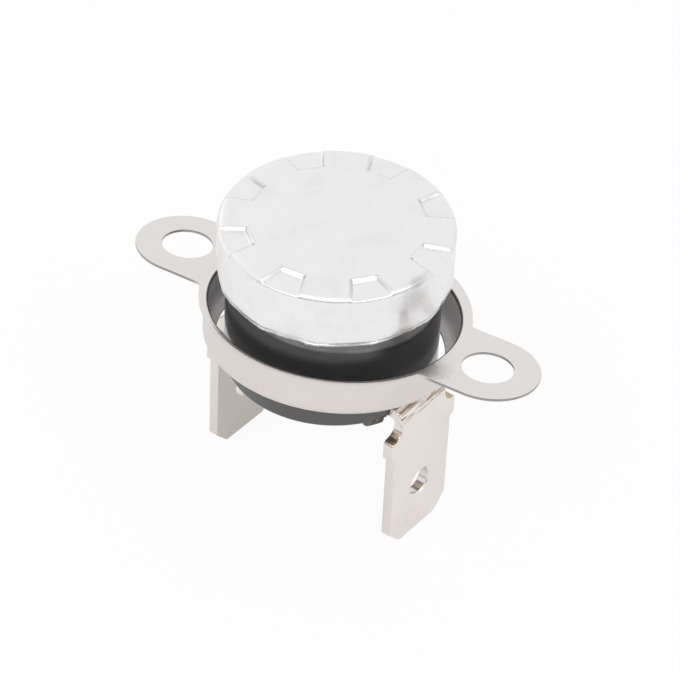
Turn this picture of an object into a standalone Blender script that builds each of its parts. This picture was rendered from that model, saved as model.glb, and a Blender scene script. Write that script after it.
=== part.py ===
# Thermal cutout: a snap-disc switch in a round black housing with an aluminium cap,
# a loose sheet-metal bracket round it and two push-on tabs bent down from its underside.
# Frame: metres, +Z up out of the cap's sensing face, whose centre is the origin.
# +X runs along the line of the two tabs. Rotations follow the right-hand rule.

import math

import bmesh
import bpy
from mathutils import Matrix, Vector

# Cap: drawn aluminium cup, crimped under the housing's flange
CAP_RADIUS = 0.0081
CAP_HEIGHT = 0.00445
CAP_SHEET = 0.00030
CAP_EDGE_ROUND = 0.00050
CRIMP_ROUND = 0.00042
CRIMP_FLATS = 12
CRIMP_FLAT_DEPTH = 0.00008

# Pads pressed into the rim of the sensing face, open towards its edge
PAD_COUNT = 8
PAD_PHASE_DEG = 10.4
PAD_LENGTH = 0.0021
PAD_INNER_WIDTH = 0.0019
PAD_OUTER_WIDTH = 0.0032
PAD_DEPTH = 0.00026
PAD_DRAFT = 0.00022

# Gaps between neighbouring pieces
FIT = 0.00005
CRIMP_GAP = 0.00006
RUNNING_FIT = 0.00005
FLEX_GAP = 0.00015

# Housing: one phenolic moulding
FLANGE_OVERHANG = 0.00030
BODY_DEPTH = 0.00745
BODY_WALL = 0.00120
BODY_EDGE = 0.00025
FLOOR_THICKNESS = 0.00230
FLOOR_FILLET = 0.00030
CHANNEL_DEPTH = 0.00086
CHANNEL_SIDE_GAP = 0.00020
CHANNEL_END_GAP = 0.00040
LUG_HEIGHT = 0.00045
LUG_LENGTH = 0.00150
LUG_EDGE = 0.00018
LUG_GAP_DEG = 0.2
LUG_SPAN_DEG = 10.0

# Snap disc, and the guide that carries its edge
DISC_EDGE_GAP = 0.0010
DISC_THICKNESS = 0.00020
DISC_DOME = 0.00040
DISC_TOP_GAP = 0.00010
DISC_SEAT = 0.0005
GUIDE_RIM_HEIGHT = 0.00050
GUIDE_THICKNESS = 0.00065
GUIDE_SLEEVE_WALL = 0.0009
GUIDE_SLEEVE_LENGTH = 0.0016

# Widths inside, as shares of the cavity's radius, so that they fit a smaller or larger cap too
PIN_SHARE = 0.1626
RIVET_SHANK_SHARE = 0.130
RIVET_HEAD_SHARE = 0.195
RIVET_TAIL_SHARE = 0.244
ARM_SHARE = 0.4553
STRIP_SHARE = 0.4228
CONTACT_SHARE = 0.138
CONTACT_SHANK_SHARE = 0.073
POST_SHARE = 0.585
LEFT_POST_SHARE = 0.195

# Push pin between the disc and the spring arm
PIN_END_ROUND = 0.00045
PIN_DISC_PLAY = 0.00008
PIN_ARM_PLAY = 0.00004

# Contacts and their rivets, on the line of the tabs
RIVET_HEAD_HEIGHT = 0.00055
RIVET_TAIL_HEIGHT = 0.00055
ARM_THICKNESS = 0.00020
ARM_LEVEL = 0.00097
ARM_END_GAP = 0.00025
STRIP_THICKNESS = 0.00050
STRIP_PIN_GAP = 0.00030
CONTACT_HEIGHT = 0.00050
CONTACT_HEAD_OUT = 0.00012
CONTACT_EDGE = 0.00010
CONTACT_GAP = 0.00003
POST_GAP = 0.00020

# Push-on tabs, each blanked from one strip and bent once
TAB_STANDOFF = 0.00085
TAB_THICKNESS = 0.00080
TAB_WIDTH = 0.0063
TAB_LENGTH = 0.00860
TAB_TIP_CHAMFER = 0.00115
TAB_TIP_RISE = 0.00120
TAB_HOLE_RADIUS = 0.00103
TAB_HOLE_TO_TIP = 0.00430
NECK_WIDTH = 0.0048
NECK_NOTCH = 0.0010
NECK_DROP = 0.0020
SHOULDER_WIDTH = 0.0071
SHOULDER_HEIGHT = 0.00145
SHOULDER_ROUND = 0.00030
BEND_INSIDE = 0.00025
TAB_END_ROUND = 0.0012

# Loose bracket, in its own frame: +Z along its collar, +X along its ears
SHEET = 0.00022
LIP_GAP = 0.00051
LIP_WIDTH = 0.00078
COLLAR_DEPTH = 0.00297
COLLAR_TOP_EDGE = 0.00013
COLLAR_TOP_BEND = 0.00005
COLLAR_LOW_BEND = 0.00050
BRIM_WIDTH = 0.00054
BRIM_OFFSET = (-0.00013, 0.00038)
EAR_OFFSET = (-0.00013, 0.00018)
EAR_WIDTH = 0.0073
EAR_HOLE_SPACING = 0.0240
EAR_HOLE_RADIUS = 0.0018
BRACKET_TURN_DEG = 8.0
BRACKET_TILT_DEG = 7.5
BRACKET_SHIFT = (0.00014, 0.00004)
BRACKET_REST = 0.00072

MARKER_SIZE = 0.0030
TURNED_SEGMENTS = 72
INNER_SEGMENTS = 48
SMALL_SEGMENTS = 28
ARC_STEP_DEG = 22.5
CUTTER_MARGIN = 0.0010

# Radii outwards from the axis, each following its neighbour
CAP_INSIDE = CAP_RADIUS - CAP_SHEET
FLANGE_RADIUS = CAP_INSIDE - FIT
BODY_RADIUS = FLANGE_RADIUS - FLANGE_OVERHANG
CRIMP_INSIDE = BODY_RADIUS + CRIMP_GAP
CAVITY_RADIUS = BODY_RADIUS - BODY_WALL
DISC_RADIUS = FLANGE_RADIUS - DISC_EDGE_GAP
PIN_RADIUS = CAVITY_RADIUS * PIN_SHARE
RIVET_SHANK = CAVITY_RADIUS * RIVET_SHANK_SHARE
RIVET_HEAD_RADIUS = CAVITY_RADIUS * RIVET_HEAD_SHARE
RIVET_TAIL_RADIUS = CAVITY_RADIUS * RIVET_TAIL_SHARE
ARM_WIDTH = CAVITY_RADIUS * ARM_SHARE
STRIP_WIDTH = CAVITY_RADIUS * STRIP_SHARE
CONTACT_RADIUS = CAVITY_RADIUS * CONTACT_SHARE
CONTACT_SHANK = CAVITY_RADIUS * CONTACT_SHANK_SHARE
POST_WIDTH = CAVITY_RADIUS * POST_SHARE
LEFT_POST_LENGTH = CAVITY_RADIUS * LEFT_POST_SHARE
PIN_BORE = PIN_RADIUS + RUNNING_FIT
RIVET_BORE = RIVET_SHANK + FIT
LIP_INSIDE = BODY_RADIUS + LIP_GAP
COLLAR_INSIDE = LIP_INSIDE + LIP_WIDTH
COLLAR_OUTSIDE = COLLAR_INSIDE + SHEET
BRIM_RADIUS = COLLAR_OUTSIDE + BRIM_WIDTH

# Reaches along X
RIVET_REACH = CAVITY_RADIUS - ARM_END_GAP - ARM_WIDTH / 2
ARM_ROOT = RIVET_REACH + ARM_WIDTH / 2
STRIP_INNER = PIN_RADIUS + STRIP_PIN_GAP
STRIP_OUTER = RIVET_REACH + STRIP_WIDTH / 2
CONTACT_REACH = STRIP_INNER + CONTACT_EDGE + CONTACT_RADIUS
ARM_TIP = CONTACT_REACH + CONTACT_RADIUS
RIGHT_POST_INNER = ARM_TIP + POST_GAP
LEFT_POST_INNER = RIVET_REACH - LEFT_POST_LENGTH
TAB_FACE = BODY_RADIUS + TAB_STANDOFF
CHANNEL_HALF = NECK_WIDTH / 2 + CHANNEL_SIDE_GAP

# Levels down the axis
DISC_TOP_Z = -CAP_SHEET - DISC_TOP_GAP
DISC_EDGE_Z = DISC_TOP_Z - DISC_DOME - DISC_THICKNESS
GUIDE_TOP_Z = DISC_EDGE_Z - FIT
GUIDE_FLOOR_Z = GUIDE_TOP_Z - GUIDE_RIM_HEIGHT
GUIDE_LOW_Z = GUIDE_FLOOR_Z - GUIDE_THICKNESS
FLANGE_TOP_Z = GUIDE_LOW_Z - FIT
CRIMP_TOP_Z = -CAP_HEIGHT + CAP_SHEET
FLANGE_LOW_Z = CRIMP_TOP_Z + FIT
BODY_LOW_Z = -CAP_HEIGHT - BODY_DEPTH
CHANNEL_Z = BODY_LOW_Z + CHANNEL_DEPTH
CAVITY_FLOOR_Z = CHANNEL_Z + FLOOR_THICKNESS
TAB_TOP_Z = CHANNEL_Z - FIT
TAB_LOW_Z = TAB_TOP_Z - TAB_THICKNESS
SHOULDER_Z = TAB_TOP_Z - NECK_DROP
TAB_TIP_Z = SHOULDER_Z - SHOULDER_HEIGHT - TAB_LENGTH
ARM_Z = CAVITY_FLOOR_Z + ARM_LEVEL
ARM_TOP_Z = ARM_Z + ARM_THICKNESS / 2
ARM_LOW_Z = ARM_Z - ARM_THICKNESS / 2
LEFT_POST_Z = ARM_LOW_Z - FLEX_GAP
CONTACT_MEET_Z = ARM_TOP_Z + CONTACT_HEIGHT
STRIP_LOW_Z = CONTACT_MEET_Z + CONTACT_GAP + CONTACT_HEIGHT
STRIP_TOP_Z = STRIP_LOW_Z + STRIP_THICKNESS
RIGHT_POST_Z = STRIP_LOW_Z - FIT
BRACKET_Z = TAB_TOP_Z + BRACKET_REST + COLLAR_DEPTH


def rounded(corners, closed=True):
    """Points of an outline whose corners (x, y, radius) are replaced by arcs."""
    points = []
    count = len(corners)
    for i, (x, y, radius) in enumerate(corners):
        here = Vector((x, y))
        at_end = not closed and i in (0, count - 1)
        if radius <= 0 or at_end:
            points.append((x, y))
            continue
        before = (Vector(corners[i - 1][:2]) - here).normalized()
        after = (Vector(corners[(i + 1) % count][:2]) - here).normalized()
        half = before.angle(after) / 2
        centre = here + (before + after).normalized() * (radius / math.sin(half))
        start = here + before * (radius / math.tan(half)) - centre
        turn = math.pi - 2 * half
        if before.x * after.y - before.y * after.x > 0:
            turn = -turn
        steps = max(2, round(abs(math.degrees(turn)) / ARC_STEP_DEG))
        for k in range(steps + 1):
            a = turn * k / steps
            c, s = math.cos(a), math.sin(a)
            points.append((centre.x + c * start.x - s * start.y, centre.y + s * start.x + c * start.y))
    return points


def colour_material(name, colour, roughness, metallic):
    material = bpy.data.materials.new(name)
    material.use_nodes = True
    shader = material.node_tree.nodes["Principled BSDF"]
    shader.inputs["Base Color"].default_value = (*colour, 1.0)
    shader.inputs["Roughness"].default_value = roughness
    shader.inputs["Metallic"].default_value = metallic
    material.diffuse_color = (*colour, 1.0)
    return material


def new_object(name, bm, material, smooth_deg=35.0):
    """An object from a bmesh, with its faces turned outwards and round faces shaded smooth."""
    bmesh.ops.recalc_face_normals(bm, faces=bm.faces)
    mesh = bpy.data.meshes.new(name)
    bm.to_mesh(mesh)
    bm.free()
    mesh.shade_smooth()
    mesh.set_sharp_from_angle(angle=math.radians(smooth_deg))
    obj = bpy.data.objects.new(name, mesh)
    bpy.context.scene.collection.objects.link(obj)
    if material:
        mesh.materials.append(material)
    return obj


def turned(name, profile, material=None, segments=TURNED_SEGMENTS, on_axis=True):
    """A solid of revolution round Z. A profile on the axis runs from its top point to its lowest."""
    bm = bmesh.new()
    rings = []
    for r, z in profile:
        if on_axis and r == 0:
            rings.append([bm.verts.new((0, 0, z))])
            continue
        ring = []
        for k in range(segments):
            a = 2 * math.pi * k / segments
            ring.append(bm.verts.new((r * math.cos(a), r * math.sin(a), z)))
        rings.append(ring)
    join_rings(bm, rings, wrap=not on_axis)
    return new_object(name, bm, material)


def join_rings(bm, rings, wrap):
    """Faces between each ring and the next, and back to the first where the profile is a loop."""
    pairs = list(zip(rings, rings[1:]))
    if wrap:
        pairs.append((rings[-1], rings[0]))
    for upper, lower in pairs:
        count = max(len(upper), len(lower))
        for k in range(count):
            n = (k + 1) % count
            if len(upper) == 1:
                bm.faces.new((upper[0], lower[k], lower[n]))
            elif len(lower) == 1:
                bm.faces.new((upper[k], lower[0], upper[n]))
            else:
                bm.faces.new((upper[k], lower[k], lower[n], upper[n]))


def prism(name, outline, low, high, material=None):
    """A flat outline in X and Y, extruded from one level to another."""
    bm = bmesh.new()
    face = bm.faces.new([bm.verts.new((x, y, low)) for x, y in outline])
    made = bmesh.ops.extrude_face_region(bm, geom=[face])
    moved = [item for item in made["geom"] if isinstance(item, bmesh.types.BMVert)]
    bmesh.ops.translate(bm, vec=(0, 0, high - low), verts=moved)
    return new_object(name, bm, material)


def rod(name, x, radius, low, high, y=0.0, segments=SMALL_SEGMENTS):
    """A plain upright cylinder, for a bore."""
    outline = []
    for k in range(segments):
        a = 2 * math.pi * (k + 0.5) / segments
        outline.append((x + radius * math.cos(a), y + radius * math.sin(a)))
    return prism(name, outline, low, high)


def use_in_boolean(target, tool, operation):
    """Cuts the tool from the target, or joins it, and keeps the tool as a hidden helper."""
    tool.hide_render = True
    tool.display_type = "WIRE"
    modifier = target.modifiers.new(tool.name, "BOOLEAN")
    modifier.operation = operation
    modifier.solver = "EXACT"
    modifier.object = tool


def empty_at(name, place, turn=None):
    empty = bpy.data.objects.new(name, None)
    empty.empty_display_size = MARKER_SIZE
    bpy.context.scene.collection.objects.link(empty)
    empty.location = place
    if turn:
        empty.rotation_euler = turn.to_euler()
    return empty


def hang_on(empty, objects):
    for obj in objects:
        obj.parent = empty


def strip_outline(start, end, width):
    """A strip along X with half-round ends."""
    half = width / 2
    points = []
    for k in range(9):
        a = math.radians(-90 + 180 * k / 8)
        points.append((end - half + half * math.cos(a), half * math.sin(a)))
    for k in range(9):
        a = math.radians(90 + 180 * k / 8)
        points.append((start + half + half * math.cos(a), half * math.sin(a)))
    return points


# Cap

def cap_section(pressed):
    """The cup's section from its top on the axis, round the rim and back inside."""
    inner_round = max(CAP_EDGE_ROUND - CAP_SHEET, CAP_SHEET / 4)
    return rounded([
        (0, 0, 0),
        (CAP_RADIUS, 0, CAP_EDGE_ROUND),
        (CAP_RADIUS - pressed, -CAP_HEIGHT, CRIMP_ROUND),
        (CRIMP_INSIDE, -CAP_HEIGHT + pressed, 0),
        (CRIMP_INSIDE, CRIMP_TOP_Z, 0),
        (CAP_INSIDE, CRIMP_TOP_Z, 0),
        (CAP_INSIDE, -CAP_SHEET, inner_round),
        (0, -CAP_SHEET, 0),
    ], closed=False)


def make_cap(material):
    """The cup, with its lower edge rolled in by a faceted tool, and the pads pressed into its face."""
    bm = bmesh.new()
    rings = None
    for k in range(TURNED_SEGMENTS):
        angle = 2 * math.pi * k / TURNED_SEGMENTS
        pressed = CRIMP_FLAT_DEPTH * (0.5 - 0.5 * math.cos(CRIMP_FLATS * angle))
        section = cap_section(pressed)
        if rings is None:
            rings = [[] for _ in section]
        for ring, (r, z) in zip(rings, section):
            if r > 0:
                ring.append(bm.verts.new((r * math.cos(angle), r * math.sin(angle), z)))
            elif not ring:
                ring.append(bm.verts.new((0, 0, z)))
    join_rings(bm, rings, wrap=False)
    cap = new_object("cap", bm, material)
    under = -CAP_SHEET - PAD_DEPTH
    for k in range(PAD_COUNT):
        outer = CAP_INSIDE + CAP_SHEET / 6
        bulge = pad_wedge(f"join_pad_{k + 1}", k, CAP_SHEET, outer, -CAP_SHEET * 0.8, under)
        use_in_boolean(cap, bulge, "UNION")
    for k in range(PAD_COUNT):
        hollow = pad_wedge(f"cut_pad_{k + 1}", k, 0, CAP_RADIUS + CUTTER_MARGIN, PAD_DEPTH, -PAD_DEPTH)
        use_in_boolean(cap, hollow, "DIFFERENCE")
    return cap


def pad_wedge(name, index, grow, outer, top, low):
    """A drafted wedge of one pad, widened all round by the sheet where it is the bulge inside."""
    inner = CAP_RADIUS - PAD_LENGTH
    flare = (PAD_OUTER_WIDTH - PAD_INNER_WIDTH) / PAD_LENGTH
    slope = PAD_DRAFT / PAD_DEPTH
    bm = bmesh.new()
    rings = []
    for z in (low, top):
        spread = grow + slope * (z + grow)
        near = inner - spread
        half_in = PAD_INNER_WIDTH / 2 + spread
        half_out = PAD_INNER_WIDTH / 2 + flare * (outer - inner) / 2 + spread
        corners = [(near, -half_in), (outer, -half_out), (outer, half_out), (near, half_in)]
        rings.append([bm.verts.new((x, y, z)) for x, y in corners])
    bm.faces.new(rings[0])
    bm.faces.new(rings[1])
    join_rings(bm, rings, wrap=False)
    turn = math.radians(PAD_PHASE_DEG + 360 * index / PAD_COUNT)
    bmesh.ops.transform(bm, matrix=Matrix.Rotation(turn, 4, "Z"), verts=bm.verts)
    return new_object(name, bm, None)


# Snap disc, guide and pin

def make_disc(material):
    """A shallow dome of even thickness, bulging up while the part is cold."""
    steps = 5
    upper = []
    for k in range(steps + 1):
        share = k / steps
        upper.append((DISC_RADIUS * share, DISC_TOP_Z - DISC_DOME * share ** 2))
    lower = [(r, z - DISC_THICKNESS) for r, z in reversed(upper)]
    return turned("bimetal_disc", upper + lower, material, segments=INNER_SEGMENTS)


def make_guide(material):
    """The insulating plate whose rim carries the disc and whose sleeve guides the pin."""
    rim_inner = DISC_RADIUS - DISC_SEAT
    sleeve = PIN_BORE + GUIDE_SLEEVE_WALL
    section = [
        (PIN_BORE, GUIDE_FLOOR_Z),
        (rim_inner, GUIDE_FLOOR_Z),
        (rim_inner, GUIDE_TOP_Z),
        (FLANGE_RADIUS, GUIDE_TOP_Z),
        (FLANGE_RADIUS, GUIDE_LOW_Z),
        (sleeve, GUIDE_LOW_Z),
        (sleeve, GUIDE_LOW_Z - GUIDE_SLEEVE_LENGTH),
        (PIN_BORE, GUIDE_LOW_Z - GUIDE_SLEEVE_LENGTH),
    ]
    return turned("guide_plate", section, material, segments=INNER_SEGMENTS, on_axis=False)


def make_pin(material):
    """The ceramic pin, with its origin on its own line of travel."""
    top = DISC_TOP_Z - DISC_THICKNESS - PIN_DISC_PLAY
    low = ARM_TOP_Z + PIN_ARM_PLAY
    section = rounded([
        (0, top, 0),
        (PIN_RADIUS, top, PIN_END_ROUND),
        (PIN_RADIUS, low, PIN_END_ROUND),
        (0, low, 0),
    ], closed=False)
    return turned("push_pin", section, material, segments=SMALL_SEGMENTS)


# Housing

def make_base(material):
    """The moulded body: a cup with a post at each side inside, and channels for the tabs underneath."""
    section = rounded([
        (0, CAVITY_FLOOR_Z, 0),
        (CAVITY_RADIUS, CAVITY_FLOOR_Z, FLOOR_FILLET),
        (CAVITY_RADIUS, FLANGE_TOP_Z, 0),
        (FLANGE_RADIUS, FLANGE_TOP_Z, 0),
        (FLANGE_RADIUS, FLANGE_LOW_Z, 0),
        (BODY_RADIUS, FLANGE_LOW_Z, 0),
        (BODY_RADIUS, BODY_LOW_Z, BODY_EDGE),
        (0, BODY_LOW_Z, 0),
    ], closed=False)
    base = turned("base", section, material)
    use_in_boolean(base, post("left", -1, LEFT_POST_INNER, LEFT_POST_Z), "UNION")
    use_in_boolean(base, post("right", 1, RIGHT_POST_INNER, RIGHT_POST_Z), "UNION")
    for side, name in ((1, "right"), (-1, "left")):
        use_in_boolean(base, lug(name, side), "UNION")
        use_in_boolean(base, channel(name, side), "DIFFERENCE")
        low = BODY_LOW_Z - CUTTER_MARGIN
        bore = rod(f"cut_rivet_bore_{name}", side * RIVET_REACH, RIVET_BORE, low, STRIP_TOP_Z)
        use_in_boolean(base, bore, "DIFFERENCE")
    return base


def block_outline(side, inner, outer, half):
    """A rectangle on the line of the tabs, on the right (1) or the left (-1)."""
    corners = ((inner, -half), (outer, -half), (outer, half), (inner, half))
    return [(side * x, side * y) for x, y in corners]


def post(name, side, inner, top):
    """A post on the floor that grows out of the side wall and seats one rivet."""
    half = POST_WIDTH / 2
    outer = math.sqrt((BODY_RADIUS - BODY_WALL / 2) ** 2 - half ** 2)
    outline = block_outline(side, inner, outer, half)
    return prism(f"join_{name}_post", outline, CAVITY_FLOOR_Z - FLOOR_THICKNESS / 2, top)


def channel(name, side):
    """The groove under the housing that one tab's neck lies in, open at the rim."""
    inner = RIVET_REACH - NECK_WIDTH / 2 - CHANNEL_END_GAP
    outline = block_outline(side, inner, BODY_RADIUS + CUTTER_MARGIN, CHANNEL_HALF)
    return prism(f"cut_channel_{name}", outline, BODY_LOW_Z - LUG_HEIGHT - CUTTER_MARGIN, CHANNEL_Z)


def lug(name, side):
    """A low foot with a chamfered edge beside one channel, on opposite sides of the two tabs."""
    start = math.asin(CHANNEL_HALF / BODY_RADIUS) + math.radians(LUG_GAP_DEG)
    span = math.radians(LUG_SPAN_DEG)
    foot = BODY_LOW_Z - LUG_HEIGHT
    steps = 6
    bm = bmesh.new()
    rings = []
    for z, inset in ((BODY_LOW_Z + CHANNEL_DEPTH / 2, 0), (foot + LUG_EDGE, 0), (foot, LUG_EDGE)):
        inner = BODY_RADIUS - LUG_LENGTH + inset
        outer = BODY_RADIUS - BODY_EDGE / 2 - inset
        cut = inset / outer
        angles = [-(start + cut + (span - 2 * cut) * k / steps) for k in range(steps + 1)]
        arc = [(outer * math.cos(a), outer * math.sin(a)) for a in angles]
        arc += [(inner * math.cos(a), inner * math.sin(a)) for a in reversed(angles)]
        rings.append([bm.verts.new((side * x, side * y, z)) for x, y in arc])
    bm.faces.new(rings[0])
    bm.faces.new(rings[-1])
    join_rings(bm, rings, wrap=False)
    return new_object(f"join_lug_{name}", bm, None)


# Contacts

def make_contact(name, meet, up, carrier, material):
    """A silver button whose dome is at meet, facing up (1) or down (-1), riveted through its carrier."""
    back = meet - up * (CONTACT_HEIGHT - FIT / 2)
    far = meet - up * (CONTACT_HEIGHT + carrier + CONTACT_HEAD_OUT)
    section = [
        (0, meet),
        (CONTACT_RADIUS * 0.6, meet - up * CONTACT_HEIGHT / 10),
        (CONTACT_RADIUS, meet - up * CONTACT_HEIGHT / 4),
        (CONTACT_RADIUS, back),
        (CONTACT_SHANK, back),
        (CONTACT_SHANK, far),
        (0, far),
    ]
    obj = turned(name, section, material, segments=SMALL_SEGMENTS)
    obj.data.transform(Matrix.Translation((CONTACT_REACH, 0, 0)))
    return obj


def make_moving_arm(material):
    """The spring blade, held under the left rivet and carrying the moving contact."""
    arm = prism("moving_arm", strip_outline(-ARM_ROOT, ARM_TIP, ARM_WIDTH), ARM_LOW_Z, ARM_TOP_Z, material)
    low = ARM_LOW_Z - CUTTER_MARGIN
    high = ARM_TOP_Z + CUTTER_MARGIN
    use_in_boolean(arm, rod("cut_arm_root", -RIVET_REACH, RIVET_SHANK + FLEX_GAP, low, high), "DIFFERENCE")
    bore = rod("cut_arm_contact", CONTACT_REACH, CONTACT_SHANK + FIT, low, high)
    use_in_boolean(arm, bore, "DIFFERENCE")
    return arm


def make_contact_strip(material):
    """The fixed strip on the tall post, with the fixed contact under its free end."""
    outline = strip_outline(STRIP_INNER, STRIP_OUTER, STRIP_WIDTH)
    strip = prism("contact_strip", outline, STRIP_LOW_Z, STRIP_TOP_Z, material)
    low = STRIP_LOW_Z - CUTTER_MARGIN
    high = STRIP_TOP_Z + CUTTER_MARGIN
    use_in_boolean(strip, rod("cut_strip_rivet", RIVET_REACH, RIVET_BORE, low, high), "DIFFERENCE")
    bore = rod("cut_strip_contact", CONTACT_REACH, CONTACT_SHANK + FIT, low, high)
    use_in_boolean(strip, bore, "DIFFERENCE")
    return strip


def make_rivet(name, side, head_low, material):
    """A rivet from its head, through the floor, to its upset tail under the tab's neck."""
    tail_top = TAB_LOW_Z - FIT
    section = rounded([
        (0, head_low + RIVET_HEAD_HEIGHT, 0),
        (RIVET_HEAD_RADIUS, head_low + RIVET_HEAD_HEIGHT, RIVET_HEAD_HEIGHT / 2),
        (RIVET_HEAD_RADIUS, head_low, 0),
        (RIVET_SHANK, head_low, 0),
        (RIVET_SHANK, tail_top, 0),
        (RIVET_TAIL_RADIUS, tail_top, 0),
        (RIVET_TAIL_RADIUS, tail_top - RIVET_TAIL_HEIGHT, RIVET_TAIL_HEIGHT / 2),
        (0, tail_top - RIVET_TAIL_HEIGHT, 0),
    ], closed=False)
    obj = turned(name, section, material, segments=SMALL_SEGMENTS)
    obj.data.transform(Matrix.Translation((side * RIVET_REACH, 0, 0)))
    return obj


# Tabs

def tab_stations():
    """Along the strip from its end under the housing to the tip: (x, z, outward normal, half width)."""
    radius = BEND_INSIDE + TAB_THICKNESS
    neck = NECK_WIDTH / 2
    blade = TAB_WIDTH / 2
    shoulder = SHOULDER_WIDTH / 2
    start = RIVET_REACH - neck
    stations = []
    for k in range(5):
        a = math.radians(90 * k / 4)
        along = TAB_END_ROUND * (1 - math.cos(a))
        half = neck - TAB_END_ROUND * (1 - math.sin(a))
        stations.append((start + along, TAB_TOP_Z, (0, 1), half))
    for k in range(8):
        a = math.radians(90 * k / 7)
        x = TAB_FACE - radius + radius * math.sin(a)
        z = TAB_TOP_Z - radius + radius * math.cos(a)
        stations.append((x, z, (math.sin(a), math.cos(a)), neck))
    notch = min(NECK_NOTCH, (shoulder - neck) * 0.9, (NECK_DROP - radius) * 0.95)
    for k in range(1, 6):
        a = math.radians(90 * k / 5)
        z = SHOULDER_Z + notch * (1 - math.sin(a))
        stations.append((TAB_FACE, z, (1, 0), neck + notch * (1 - math.cos(a))))
    low = SHOULDER_Z - SHOULDER_HEIGHT
    ease = min(SHOULDER_ROUND, SHOULDER_HEIGHT / 3)
    outline = [
        (SHOULDER_Z - ease * 0.1, shoulder - ease),
        (SHOULDER_Z - ease * 0.35, shoulder - ease * 0.3),
        (SHOULDER_Z - ease, shoulder),
        (low + ease * 1.2, shoulder),
        (low + ease * 0.3, blade + (shoulder - blade) * 0.3),
        (low - ease * 0.3, blade),
        (TAB_TIP_Z + TAB_TIP_RISE, blade),
        (TAB_TIP_Z, blade - TAB_TIP_CHAMFER),
    ]
    for z, half in outline:
        stations.append((TAB_FACE, z, (1, 0), half))
    return stations


def make_tab(name, side, material):
    """One plated terminal: its neck under the housing, the bend and the blade."""
    bm = bmesh.new()
    sections = []
    for x, z, outward, half in tab_stations():
        inner_x = x - outward[0] * TAB_THICKNESS
        inner_z = z - outward[1] * TAB_THICKNESS
        corners = ((x, -half, z), (x, half, z), (inner_x, half, inner_z), (inner_x, -half, inner_z))
        sections.append([bm.verts.new(corner) for corner in corners])
    bm.faces.new(sections[0])
    bm.faces.new(sections[-1])
    join_rings(bm, sections, wrap=False)
    turn = Matrix.Rotation(0.0 if side > 0 else math.pi, 4, "Z")
    bmesh.ops.transform(bm, matrix=turn, verts=bm.verts)
    tab = new_object(name, bm, material)
    low = TAB_LOW_Z - CUTTER_MARGIN
    high = TAB_TOP_Z + CUTTER_MARGIN
    use_in_boolean(tab, rod(f"cut_rivet_{name}", side * RIVET_REACH, RIVET_BORE, low, high), "DIFFERENCE")
    hole = rod(f"cut_hole_{name}", 0, TAB_HOLE_RADIUS, -TAB_THICKNESS - CUTTER_MARGIN, CUTTER_MARGIN)
    place = Matrix.Translation((side * TAB_FACE, 0, TAB_TIP_Z + TAB_HOLE_TO_TIP))
    hole.data.transform(place @ Matrix.Rotation(side * math.pi / 2, 4, "Y"))
    use_in_boolean(tab, hole, "DIFFERENCE")
    return tab


# Bracket

def circle_points(x, y, radius, segments):
    points = []
    for k in range(segments):
        a = 2 * math.pi * k / segments
        points.append((x + radius * math.cos(a), y + radius * math.sin(a)))
    return points


def blank_outline():
    """The blank's edge, anticlockwise: the brim's two arcs and an ear with a round end at each side."""
    half = EAR_WIDTH / 2
    roots = []
    for side, y in ((1, -half), (1, half), (-1, half), (-1, -half)):
        across = EAR_OFFSET[1] + y - BRIM_OFFSET[1]
        roots.append((BRIM_OFFSET[0] + side * math.sqrt(BRIM_RADIUS ** 2 - across ** 2), EAR_OFFSET[1] + y))
    points = []
    for side, root_in, root_out, next_root in ((1, 0, 1, 2), (-1, 2, 3, 0)):
        points.append(roots[root_in])
        centre = EAR_OFFSET[0] + side * EAR_HOLE_SPACING / 2
        for k in range(17):
            a = math.radians(-90 + 180 * k / 16)
            points.append((centre + side * half * math.cos(a), EAR_OFFSET[1] + side * half * math.sin(a)))
        points.append(roots[root_out])
        start = math.atan2(roots[root_out][1] - BRIM_OFFSET[1], roots[root_out][0] - BRIM_OFFSET[0])
        end = math.atan2(roots[next_root][1] - BRIM_OFFSET[1], roots[next_root][0] - BRIM_OFFSET[0])
        span = (end - start) % (2 * math.pi)
        steps = TURNED_SEGMENTS * 3 // 8
        for k in range(1, steps):
            a = start + span * k / steps
            x = BRIM_OFFSET[0] + BRIM_RADIUS * math.cos(a)
            points.append((x, BRIM_OFFSET[1] + BRIM_RADIUS * math.sin(a)))
    return points


def collar_section():
    """The sheet's section from the lower end of the coined top bend round the lip to its upper end."""
    low = -COLLAR_DEPTH
    corners = [
        (COLLAR_OUTSIDE + COLLAR_TOP_BEND, -SHEET, 0),
        (COLLAR_OUTSIDE, -SHEET, COLLAR_TOP_BEND * 0.999),
        (COLLAR_OUTSIDE, low, COLLAR_LOW_BEND + SHEET),
        (LIP_INSIDE, low, 0),
        (LIP_INSIDE, low + SHEET, 0),
        (COLLAR_INSIDE, low + SHEET, COLLAR_LOW_BEND),
        (COLLAR_INSIDE, 0, COLLAR_TOP_EDGE * 0.999),
        (COLLAR_INSIDE + COLLAR_TOP_EDGE, 0, 0),
    ]
    points = rounded(corners, closed=False)
    return points[1:-1]


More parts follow.
